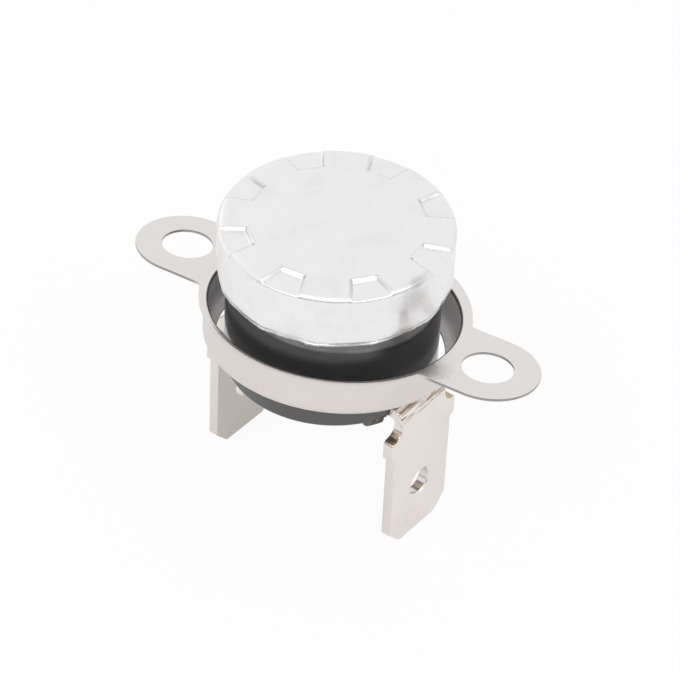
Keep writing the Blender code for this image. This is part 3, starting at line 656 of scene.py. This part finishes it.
housing = {
    "radius": 7.45, "flange": 7.75, "cavity": 6.25, "top": -2.25, "flangeLow": -4.10, "low": -11.90,
    "floor": -8.74, "floorRound": 0.3, "edge": 0.25, "segments": 256,
    "channelTop": -11.04, "channelHalf": 2.6, "channelInner": 1.78, "channelRound": 0.3,
    "lugHeight": 0.45, "lugLength": 1.5, "lugStart": 20.6, "lugSpan": 13.0, "lugEdge": 0.34,
    "lugCorner": 0.36, "lugTrim": 0.004, "lugInto": 4.5,
    "bevel": 0.05, "bevelFrom": 50.0,
    # the painted reflection, a lighter band near the cap, in metres, and the mirror strength of the skin
    "band": (-0.0065, -0.0056), "bandFade": (0.0062, 0.0070), "bandShade": 0.075, "ior": 1.9,
}


def dressPhenolic():
    # painted reflection: the moulding's colour is lighter near the cap, fading out towards +X
    h = housing
    tree, shader = shaders["phenolic"]
    shader["IOR"].default_value = h["ior"]
    x, _, z = apart(tree, coordinates(tree))
    band = times(tree, ramp(tree, z, *h["band"]), ramp(tree, x, *h["bandFade"], 1.0, 0.0))
    tint(tree, shader, band, h["bandShade"])


def channelShape(side):
    h = housing
    left, right = sorted((side * h["channelInner"], side * (h["radius"] + 1)))
    near, far, r = -h["channelHalf"], h["channelHalf"], h["channelRound"]
    outline = roundedPath([(left, near, r), (right, near, r), (right, far, r), (left, far, r)], closed=True)
    return stackedShape([[(x, y, z) for x, y in outline] for z in (h["low"] - 2, h["channelTop"])])


def lugShape(side):
    h = housing
    outer = h["radius"] - h["lugTrim"]
    inner = h["radius"] - h["lugLength"]
    angles = [-math.radians(h["lugStart"] + h["lugSpan"] * share) for share in (0.0, 0.35, 0.65, 1.0)]
    arc = [(side * outer * math.cos(a), side * outer * math.sin(a), h["lugCorner"] if k in (0, 3) else 0)
           for k, a in enumerate(angles)]
    arc += [(side * inner * math.cos(a), side * inner * math.sin(a), h["lugCorner"]) for a in angles[::-3]]
    outline = roundedPath(arc, closed=True, step=20)[::-1]
    foot = h["low"] - h["lugHeight"]
    return stackedShape([
        [(x, y, foot + h["lugEdge"] * up) for x, y in inset(outline, h["lugEdge"] * shrink)]
        for up, shrink in (*rolledEdge, (h["lugInto"], 0.0))
    ])


def makeHousing():
    h = housing
    section = roundedPath([
        (0, h["floor"], 0),
        (h["cavity"], h["floor"], h["floorRound"]),
        (h["cavity"], h["top"], 0),
        (h["flange"], h["top"], 0),
        (h["flange"], h["flangeLow"], 0),
        (h["radius"], h["flangeLow"], 0),
        (h["radius"], h["low"], h["edge"]),
        (0, h["low"], 0),
    ], step=12.0)
    obj = newPiece("housingMoulding", turnedShape(section, h["segments"]), finishes["phenolic"])
    tools = []
    for side in (1, -1):
        tools.append(carve(obj, newPiece("channelTool", channelShape(side), finishes["phenolic"])))
        tools.append(carve(obj, newPiece("footTool", lugShape(side), finishes["phenolic"]), "UNION"))
    bake(obj)
    bevel = obj.modifiers.new("edges", "BEVEL")
    bevel.width = h["bevel"] * mm
    bevel.segments = 2
    bevel.limit_method = "ANGLE"
    bevel.angle_limit = math.radians(h["bevelFrom"])
    bake(obj, smooth=40.0)
    evenShading(obj)
    for tool in tools:
        bpy.data.objects.remove(tool)
    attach(obj, "housing")
    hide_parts("base")


dressPhenolic()
makeHousing()
print("housing moulded")


# Bracket: one sheet with a drawn collar, a lip turned in at its foot, a brim and two ears

bracket = {
    "sheet": 0.22, "trim": 0.014, "lipInside": 7.96, "collarInside": 8.74, "depth": 2.97, "topEdge": 0.13,
    "topBend": 0.05, "lowBend": 0.50, "lipEdge": 0.04, "brimRadius": 9.483, "brimOffset": (-0.13, 0.38),
    "brimSteps": 120, "earOffset": (-0.13, 0.18), "earWidth": 7.3, "earTrim": 0.008, "earSteps": 48,
    "holeSpacing": 24.0, "holeRadius": 1.8, "rootRound": 0.35, "edge": 0.05,
    "turn": 8.0, "tilt": 7.5, "place": (0.14, 0.04, -7.40), "segments": 360,
}
bracketMarks = {
    # radii from the collar's axis and heights over the sheet's top, in metres; a pair is a mask's two ends
    "place": (0.00014, 0.00004, -0.0074), "axis": (-0.018166, 0.129256, 0.991445),
    "upward": (0.90, 0.99), "topAbove": (-0.0005, -0.0003), "topShade": (0.785, 0.755, 0.74),
    "edgeFacing": (0.55, 0.85), "brimFrom": (0.00903, 0.00907), "brimShade": (0.70, 0.645, 0.62),
    "earsFrom": (0.00945, 0.0102), "cutShade": (0.37, 0.35, 0.335),
    "wallTo": (0.00880, 0.00886), "wallBelow": (-0.00020, -0.00012), "wallFacing": (-0.35, -0.1),
    "wallShade": (0.95, 0.93, 0.92), "wallRoughness": 0.45, "wallMetal": 0.05,
    "rootPlace": (0.0091, -0.0012, -0.0071), "rootReach": (0.0019, 0.0019, 0.002),
    "rootShade": (0.50, 0.485, 0.465), "rimTo": (0.00884, 0.00890), "rimShade": (0.10, 0.09, 0.085),
}


def makeCollarGroup():
    # how far a point lies from the collar's axis, how high, and how far its face turns up
    tree, given, out = openGroup("collarBands", "ShaderNodeTree", {
        "Place": (0.0, 0.0, 0.0), "Axis": (0.0, 0.0, 1.0),
    }, {"Radius": "Float", "Height": "Float", "Facing": "Float"})
    away = vectorCalc(tree, "SUBTRACT", coordinates(tree), given["Place"])
    around = vectorCalc(tree, "CROSS_PRODUCT", away, given["Axis"])
    feed(tree, out["Radius"], vectorCalc(tree, "LENGTH", around))
    feed(tree, out["Height"], vectorCalc(tree, "DOT_PRODUCT", away, given["Axis"]))
    feed(tree, out["Facing"], vectorCalc(tree, "DOT_PRODUCT", coordinates(tree, "Normal"), given["Axis"]))
    return tree


def dressSteel():
    # painted light on the top faces and the collar's inside wall, painted shade on the cut edges and coined
    # rim
    m = bracketMarks
    tree, shader = shaders["steel"]
    bands = placeGroup(tree, makeCollarGroup(), Place=m["place"], Axis=m["axis"])
    radius, height, facing = bands["Radius"], bands["Height"], bands["Facing"]
    upward = ramp(tree, facing, *m["upward"])
    # painted light: the sheet's upward faces are a lighter grey
    tint(tree, shader, times(tree, upward, ramp(tree, height, *m["topAbove"])), m["topShade"])
    # painted shade on the cut edge faces round the brim, darker still round the ears and their holes
    sideways = ramp(tree, calc(tree, "ABSOLUTE", facing), *m["edgeFacing"], 1.0, 0.0)
    outside = times(tree, sideways, ramp(tree, radius, *m["brimFrom"]))
    tint(tree, shader, outside, m["brimShade"])
    tint(tree, shader, times(tree, outside, ramp(tree, radius, *m["earsFrom"])), m["cutShade"])
    # painted light: the collar's inside wall is near white, rougher and almost not metal, so it looks lit
    wall = times(tree, ramp(tree, radius, *m["wallTo"], 1.0, 0.0),
                 ramp(tree, height, *m["wallBelow"], 1.0, 0.0), ramp(tree, facing, *m["wallFacing"]))
    tint(tree, shader, wall, m["wallShade"])
    duller = times(tree, wall, m["wallRoughness"] - looks["steel"]["roughness"])
    feed(tree, shader["Roughness"], plus(tree, shader["Roughness"].links[0].from_socket, duller))
    feed(tree, shader["Metallic"], ramp(tree, wall, 0.0, 1.0, 1.0, m["wallMetal"], smooth=False))
    # painted reflection: the black housing darkens the top of the right ear near its root
    rootReflection = placeGroup(tree, spotGroup, Place=m["rootPlace"], Reach=m["rootReach"])["Mask"]
    tint(tree, shader, times(tree, rootReflection, upward), m["rootShade"])
    # painted shade: a dark line along the collar's inner top edge
    rim = times(tree, ramp(tree, radius, *m["rimTo"], 1.0, 0.0), ramp(tree, height, *m["wallBelow"]))
    tint(tree, shader, rim, m["rimShade"])


def bracketOutline():
    # brim arcs and ears, anticlockwise, each corner where an ear grows out of the brim rounded
    b = bracket
    half = b["earWidth"] / 2 - b["earTrim"]
    brim = b["brimRadius"]
    brimX, brimY = b["brimOffset"]
    earX, earY = b["earOffset"]
    corners = []
    for side in (1, -1):
        centre = earX + side * b["holeSpacing"] / 2
        roots = []
        for y in (-side * half, side * half):
            across = earY + y - brimY
            roots.append((brimX + side * math.sqrt(brim ** 2 - across ** 2), earY + y))
        corners.append((*roots[0], b["rootRound"]))
        for k in range(b["earSteps"] + 1):
            a = math.radians(-90 + 180 * k / b["earSteps"])
            corners.append((centre + side * half * math.cos(a), earY + side * half * math.sin(a), 0))
        corners.append((*roots[1], b["rootRound"]))
        # the brim's arc stops short of the roots, whose rounding needs the room
        start = math.atan2(roots[1][1] - brimY, roots[1][0] - brimX)
        finish = math.atan2(across, -side * math.sqrt(brim ** 2 - across ** 2))
        span = (finish - start) % (2 * math.pi)
        for k in range(3, b["brimSteps"] - 2):
            a = start + span * k / b["brimSteps"]
            corners.append((brimX + brim * math.cos(a), brimY + brim * math.sin(a), 0))
    return roundedPath(corners, closed=True, step=15)


def collarSection():
    b = bracket
    outside = b["collarInside"] + b["sheet"] - b["trim"]
    low = -b["depth"]
    nearly = 0.999  # a rounding that took up its whole side would leave an edge of no length
    path = roundedPath([
        (outside + b["topBend"], -b["sheet"], 0),
        (outside, -b["sheet"], b["topBend"] * nearly),
        (outside, low, b["lowBend"] + b["sheet"]),
        (b["lipInside"], low, b["lipEdge"]),
        (b["lipInside"], low + b["sheet"], b["lipEdge"]),
        (b["collarInside"], low + b["sheet"], b["lowBend"]),
        (b["collarInside"], 0, b["topEdge"] * nearly),
        (b["collarInside"] + b["topEdge"], 0, 0),
    ], step=9.0)
    return spread(path[1:-1], 0.4)


def makeBracket():
    b = bracket
    bm = bmesh.new()
    rings = [[bm.verts.new((x, y, z)) for x, y in circle(0, 0, r, b["segments"])] for r, z in collarSection()]
    joinRings(bm, rings)
    outlines = [bracketOutline()]
    for side in (1, -1):
        hole = circle(b["earOffset"][0] + side * b["holeSpacing"] / 2, b["earOffset"][1], b["holeRadius"], 72)
        outlines.append(hole[::-1])
    # each outline's cut edge: how far down and how far in, from the top face to the bottom one
    levels = [(drop * b["edge"], move * b["edge"]) for drop, move in
              ((0.0, 2.2), (0.0, 1.0), (-0.29, 0.29), (-1.0, 0.0))]
    levels += [(-b["sheet"] - drop, move) for drop, move in reversed(levels)]
    edgeRings = []
    for outline in outlines:
        loops = [[bm.verts.new((x, y, z)) for x, y in inset(outline, move)] for z, move in levels]
        joinRings(bm, loops)
        edgeRings.append(loops)
    # the flat faces between the outlines and the collar
    for index, bend in ((0, rings[-1]), (-1, rings[0])):
        edges = []
        for loop in [loops[index] for loops in edgeRings] + [bend]:
            for i, vert in enumerate(loop):
                pair = (vert, loop[(i + 1) % len(loop)])
                edges.append(bm.edges.get(pair) or bm.edges.new(pair))
        bmesh.ops.triangle_fill(bm, use_beauty=True, edges=edges)
    tilt = Matrix.Rotation(-math.radians(b["tilt"]), 4, "X")
    turn = Matrix.Rotation(math.radians(b["turn"]), 4, "Z")
    place = Matrix.Translation([v * mm for v in b["place"]]) @ turn @ tilt
    obj = newPiece("bracketSheet", bm, finishes["steel"], smooth=40.0, place=place)
    evenShading(obj)
    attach(obj, "loose_bracket")
    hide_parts("bracket")


dressSteel()
makeBracket()
print("bracket drawn")


# Tabs: each a blanked strip with rolled edges, necked, bent once, and pierced

tab = {
    "face": 8.30, "thickness": 0.80, "top": -11.09, "width": 6.3, "tip": -23.14, "chamfer": 1.15,
    "rise": 1.20, "neckWidth": 4.8, "notch": 1.0, "shoulderZ": -13.09, "shoulderWidth": 7.1,
    "shoulderHeight": 1.45,
    "shoulderRound": 0.30, "bend": 0.25, "endRound": 1.2, "reach": 4.577, "bore": 0.8625,
    "boreEnds": (1, -1.8), "holeRadius": 1.03, "holeToTip": 4.30, "holeFlare": 0.10, "edge": 0.11,
}
tabMarks = {
    # a pair is a mask's two ends, in metres or as how far a face turns up or sideways
    "edgeFacing": (0.6, 0.9), "edgeFaceShade": (0.82, 0.755, 0.705),
    "inside": (-0.004, -0.006), "insideShade": (0.69, 0.645, 0.61),
    "streakStretch": (1.0, 0.10, 1.0), "streakScale": 5200.0, "streak": (0.40, 0.56),
    "bendFrom": (0.12, 0.35), "bendTo": (0.86, 0.97), "bendAbove": (-0.01222, -0.01205),
    "bendShade": (0.40, 0.31, 0.235),
    "topsFacing": (0.35, 0.7), "topsBelow": (-0.01215, -0.01235), "topsAbove": (-0.0145, -0.0140),
    "topsShade": (0.52, 0.42, 0.31),
    "shoulderReflectionPlace": (0.0083, 0.0030, -0.0126), "shoulderReflectionReach": (0.0006, 0.0006, 0.0007),
}


def dressPlating():
    # the strip's narrow edge faces are a little darker than its broad faces
    m = tabMarks
    tree, shader = shaders["plating"]
    place = coordinates(tree)
    x, _, z = apart(tree, place)
    facingX, facingY, facingZ = apart(tree, coordinates(tree, "Normal"))
    tint(tree, shader, ramp(tree, calc(tree, "ABSOLUTE", facingY), *m["edgeFacing"]), m["edgeFaceShade"])
    # painted shade: the tabs' inner faces are darker, as they reflect the shadowed floor
    tint(tree, shader, ramp(tree, times(tree, facingX, x), *m["inside"]), m["insideShade"])
    # brown streaks along the bend's outer skin, and brown notch and shoulder tops
    stretched = addNode(tree, "ShaderNodeMapping", Scale=m["streakStretch"], Vector=place)[0]
    streak = ramp(tree, noise(tree, stretched, m["streakScale"], 3.0, 0.6), *m["streak"])
    bend = times(tree, ramp(tree, facingZ, *m["bendFrom"]), ramp(tree, facingZ, *m["bendTo"], 1.0, 0.0),
                 ramp(tree, z, *m["bendAbove"]))
    tint(tree, shader, times(tree, bend, streak), m["bendShade"])
    tops = times(tree, ramp(tree, facingZ, *m["topsFacing"]), ramp(tree, z, *m["topsBelow"]),
                 ramp(tree, z, *m["topsAbove"]))
    tint(tree, shader, tops, m["topsShade"])
    # painted reflection of the housing and bracket: dark streaks at the right tab's shoulder
    shoulderReflection = placeGroup(tree, spotGroup, Place=m["shoulderReflectionPlace"], Reach=m["shoulderReflectionReach"])["Mask"]
    tint(tree, shader, times(tree, shoulderReflection, streak), m["bendShade"])


def tabStations():
    # down the strip: (x, z, outward normal, half width)
    t = tab
    radius = t["bend"] + t["thickness"]
    neck = t["neckWidth"] / 2
    blade = t["width"] / 2
    shoulder = t["shoulderWidth"] / 2
    end = t["endRound"]
    start = t["reach"] - neck
    made = [(start + end * (1 - c), t["top"], (0, 1), neck - end * (1 - s)) for s, c in quarter(12, 1)]
    for k in range(1, 7):
        made.append((start + end + (t["face"] - radius - start - end) * k / 7, t["top"], (0, 1), neck))
    for s, c in quarter(16):
        made.append((t["face"] - radius + radius * s, t["top"] - radius + radius * c, (s, c), neck))
    notch = min(t["notch"], (shoulder - neck) * 0.9, (t["top"] - t["shoulderZ"] - radius) * 0.95)
    for s, c in quarter(12, 1):
        made.append((t["face"], t["shoulderZ"] + notch * (1 - s), (1, 0), neck + notch * (1 - c)))
    low = t["shoulderZ"] - t["shoulderHeight"]
    ease = t["shoulderRound"]
    edge = roundedPath([
        (t["shoulderZ"], neck + notch, 0),
        (t["shoulderZ"] - 0.02, shoulder, ease),
        (low, shoulder, ease * 0.6),
        (low - ease, blade, ease),
        (t["tip"] + t["rise"], blade, 0.25),
        (t["tip"], blade - t["chamfer"], 0),
    ], step=12)
    made += [(t["face"], z, (1, 0), half) for z, half in spread(edge[1:], 0.8)]
    return made


def tabSection(x, z, outward, half, shrink=0.0):
    # the strip's cross-section with rolled edges, from its outer face round to its inner face
    t = tab
    deep = t["thickness"]
    e = t["edge"]
    points = roundedPath([
        (-half + shrink, -shrink, e), (half - shrink, -shrink, e),
        (half - shrink, -deep + shrink, e * 0.7), (-half + shrink, -deep + shrink, e * 0.7),
    ], closed=True, step=22.5)
    return [(x + outward[0] * d, y, z + outward[1] * d) for y, d in points]


def makeTab(name, node, side):
    t = tab
    stations = tabStations()
    x, z, outward, half = stations[0]
    rings = [tabSection(x + t["edge"] * s, z, outward, half, t["edge"] * (1 - c))
             for s, c in ((0.0, 0.3), (0.3, 0.7))]
    rings += [tabSection(*station) for station in stations[1:-1]]
    x, z, outward, half = stations[-1]
    slope = t["chamfer"] / t["rise"]
    for up, draw in reversed(rolledEdge):
        rings.append(tabSection(x, z + t["edge"] * up, outward, half + slope * t["edge"] * up,
                                t["edge"] * draw))
    turn = Matrix.Rotation(0.0 if side > 0 else math.pi, 4, "Z")
    obj = newPiece(name, stackedShape(rings), finishes["plating"], smooth=35.0, place=turn)
    high, low = t["boreEnds"]
    bore = turnedShape([(0, high), (t["bore"], high), (t["bore"], low), (0, low)], 48)
    bmesh.ops.translate(bore, vec=(side * t["reach"], 0, t["top"]), verts=bore.verts)
    tools = [carve(obj, newPiece("boreTool", bore, finishes["plating"]))]
    # the latching hole, its mouths flared by the punch
    r, flare, deep = t["holeRadius"], t["holeFlare"], t["thickness"]
    hole = turnedShape([(0, 0.5), (r + flare + 0.5, 0.5), (r, -flare), (r, -deep + flare * 0.6),
                        (r + flare * 0.6 + 0.5, -deep - 0.5), (0, -deep - 0.5)], 64)
    place = Matrix.Translation((side * t["face"], 0, t["tip"] + t["holeToTip"]))
    bmesh.ops.transform(hole, matrix=place @ Matrix.Rotation(side * math.pi / 2, 4, "Y"), verts=hole.verts)
    tools.append(carve(obj, newPiece("holeTool", hole, finishes["plating"])))
    bake(obj, smooth=35.0)
    evenShading(obj)
    for tool in tools:
        bpy.data.objects.remove(tool)
    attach(obj, "housing")
    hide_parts(node)


dressPlating()
makeTab("rightTab", "right_terminal", 1)
makeTab("leftTab", "left_terminal", -1)
print("tabs bent")


# Rivets: one drawn rivet set at both places by a Geometry Nodes tree

rivet = {
    "reach": 4.577, "shank": 0.8125, "tailRadius": 1.525, "tailTop": -11.94, "tailHeight": 0.55,
    "tailDip": 0.16, "headRadius": 1.219, "headHeight": 0.55, "headLow": -7.52, "headLevel": -8.5,
    "rightLift": 1.43,
    "segments": 96,
}


def makeRivetTree(sizes):
    tree, given, out = openGroup("rivetPair", "GeometryNodeTree", {
        "Geometry": "Geometry", **sizes, "Material": "Material",
    }, {"Geometry": "Geometry"})
    first = addNode(tree, "ShaderNodeCombineXYZ", X=times(tree, given["Reach"], -1.0))[0]
    step = addNode(tree, "ShaderNodeCombineXYZ", X=times(tree, given["Reach"], 2.0))[0]
    line = addNode(tree, "GeometryNodeMeshLine", Count=2, Start_Location=first, Offset=step)[0]
    placed = addNode(tree, "GeometryNodeInstanceOnPoints", Points=line, Instance=given["Geometry"])[0]
    realized = addNode(tree, "GeometryNodeRealizeInstances", Geometry=placed)[0]
    # the right rivet's head stands higher, on its strip
    x, _, z = apart(tree, addNode(tree, "GeometryNodeInputPosition")[0])
    rightHead = times(tree, calc(tree, "GREATER_THAN", x, 0.0),
                      calc(tree, "GREATER_THAN", z, given["Head Level"]))
    lift = addNode(tree, "ShaderNodeCombineXYZ", Z=times(tree, rightHead, given["Right Lift"]))[0]
    raised = addNode(tree, "GeometryNodeSetPosition", Geometry=realized, Offset=lift)[0]
    painted = addNode(tree, "GeometryNodeSetMaterial", Geometry=raised, Material=given["Material"])[0]
    feed(tree, out["Geometry"], painted)
    return tree


def makeRivets():
    r = rivet
    tailLow = r["tailTop"] - r["tailHeight"]
    section = roundedPath([
        (0, r["headLow"] + r["headHeight"], 0),
        (r["headRadius"], r["headLow"] + r["headHeight"], r["headHeight"] * 0.6),
        (r["headRadius"], r["headLow"], 0),
        (r["shank"], r["headLow"], 0),
        (r["shank"], r["tailTop"], 0),
        (r["tailRadius"], r["tailTop"], 0.06),
        (r["tailRadius"] - 0.05, tailLow, r["tailHeight"] * 0.55),
        (r["shank"] * 0.75, tailLow, 0.1),
        (r["shank"] * 0.45, tailLow + r["tailDip"], 0.1),
        (0, tailLow + r["tailDip"], 0),
    ], step=10.0)
    obj = newPiece("rivets", turnedShape(section, r["segments"]), finishes["brass"])
    sizes = {"Reach": r["reach"] * mm, "Right Lift": r["rightLift"] * mm, "Head Level": r["headLevel"] * mm}
    growNodes(obj, makeRivetTree(sizes), {**sizes, "Material": finishes["brass"]})
    bake(obj, smooth=40.0)
    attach(obj, "housing")
    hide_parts("left_rivet", "right_rivet")


makeRivets()
print("rivets set")


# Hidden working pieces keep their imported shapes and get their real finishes

inside = {
    "bimetal_disc": "bimetal", "guide_plate": "insulation", "push_pin": "ceramic", "moving_arm": "bronze",
    "moving_contact": "silver", "contact_strip": "brass", "fixed_contact": "silver",
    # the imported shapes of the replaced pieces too
    "cap": "aluminium", "base": "phenolic", "bracket": "steel", "left_terminal": "plating",
    "right_terminal": "plating", "left_rivet": "brass", "right_rivet": "brass",
}
for nodeName, finishName in inside.items():
    for slot in nodes[nodeName].material_slots:
        slot.material = finishes[finishName]
print("inside pieces painted")


# Studio: a white floor and room, and soft lamps

studio = {
    "floorZ": -0.02314, "floorRadius": 1.5, "floorShade": 0.88, "floorMottle": 0.99, "mottleScale": 40.0,
    "floorRoughness": 0.6, "floorGlow": 0.92, "glossGlow": 0.3,
    "roomLight": 0.79, "roomShine": 0.95, "duskShine": 0.30,
    "duskFrom": (-0.24, -0.14), "duskTo": (0.14, 0.26), "duskFront": (0.1, 0.4),
    "aim": (0, 0, -0.008),
    "lamps": [
        # name, place, size, power
        ("overCamera", (0.15, -0.25, 0.29), 0.16, 0.25),
        ("frontLeft", (-0.047, -0.266, 0.322), 0.16, 0.20),
        ("frontRight", (0.267, -0.038, 0.322), 0.16, 0.20),
        ("behindLeft", (-0.40, 0.10, 0.24), 0.30, 0.06),
        ("right", (0.42, 0.12, 0.22), 0.25, 0.08),
    ],
}


def mixShaders(tree, share, first, second):
    node = tree.nodes.new("ShaderNodeMixShader")
    for socket, value in zip(node.inputs, (share, first, second)):
        feed(tree, socket, value)
    return node.outputs[0]


def makeFloor():
    s = studio
    bm = bmesh.new()
    bm.faces.new([bm.verts.new((x * s["floorRadius"], y * s["floorRadius"], s["floorZ"]))
                  for x, y in circle(0, 0, 1, 64)])
    mesh = bpy.data.meshes.new("floor")
    bm.to_mesh(mesh)
    bm.free()
    floor = addObject("floor", mesh)
    material, tree, shader = newFinish("floorWhite")
    mottle = noise(tree, coordinates(tree), s["mottleScale"], 2.0)
    shades = [(s["floorShade"],) * 3, (s["floorShade"] * s["floorMottle"],) * 3]
    feed(tree, shader["Base Color"], mixColours(tree, mottle, *shades))
    shader["Roughness"].default_value = s["floorRoughness"]
    shader["Specular IOR Level"].default_value = 0.0
    glow = addNode(tree, "ShaderNodeEmission", Color=(1, 1, 1, 1), Strength=1.0)[0]
    path = addNode(tree, "ShaderNodeLightPath")
    gloss = calc(tree, "MAXIMUM", path["Is Glossy Ray"], path["Is Transmission Ray"])
    seen = calc(tree, "MAXIMUM", times(tree, path["Is Camera Ray"], s["floorGlow"]),
                times(tree, gloss, s["glossGlow"]))
    lit = mixShaders(tree, seen, tree.nodes["Principled BSDF"].outputs[0], glow)
    # seen from below the floor is clear, so that the underside can be looked at
    clear = addNode(tree, "ShaderNodeBsdfTransparent")[0]
    below = times(tree, path["Is Camera Ray"], addNode(tree, "ShaderNodeNewGeometry")["Backfacing"])
    feed(tree, tree.nodes["Material Output"].inputs["Surface"], mixShaders(tree, below, lit, clear))
    mesh.materials.append(material)


def makeRoom():
    s = studio
    world = bpy.data.worlds.new("room")
    bpy.context.scene.world = world
    world.use_nodes = True
    tree = world.node_tree
    path = addNode(tree, "ShaderNodeLightPath")
    shine = calc(tree, "MAXIMUM", path["Is Glossy Ray"], path["Is Transmission Ray"])
    # polished edges pick up a darker band low down on the camera's side
    x, y, level = apart(tree, coordinates(tree, "Generated"))
    front = minus(tree, times(tree, x, view["back"][0]), times(tree, y, -view["back"][1]))
    dusk = times(tree, ramp(tree, level, *s["duskFrom"]), ramp(tree, level, *s["duskTo"], 1.0, 0.0),
                 ramp(tree, front, *s["duskFront"]))
    shining = ramp(tree, dusk, 0.0, 1.0, s["roomShine"], s["duskShine"], smooth=False)
    strength = ramp(tree, shine, 0.0, 1.0, s["roomLight"], shining, smooth=False)
    strength = ramp(tree, path["Is Camera Ray"], 0.0, 1.0, strength, 1.0, smooth=False)
    background = tree.nodes["Background"].inputs
    background["Color"].default_value = (1.0, 1.0, 1.0, 1.0)
    feed(tree, background["Strength"], strength)


def makeLamps():
    for name, place, size, power in studio["lamps"]:
        data = bpy.data.lights.new(name, "AREA")
        data.size = size
        data.energy = power
        lamp = addObject(name, data)
        lamp.location = place
        lamp.rotation_euler = (Vector(studio["aim"]) - Vector(place)).to_track_quat("-Z", "Y").to_euler()


makeFloor()
makeRoom()
makeLamps()
bpy.context.scene.view_settings.view_transform = "Standard"
print("studio set")
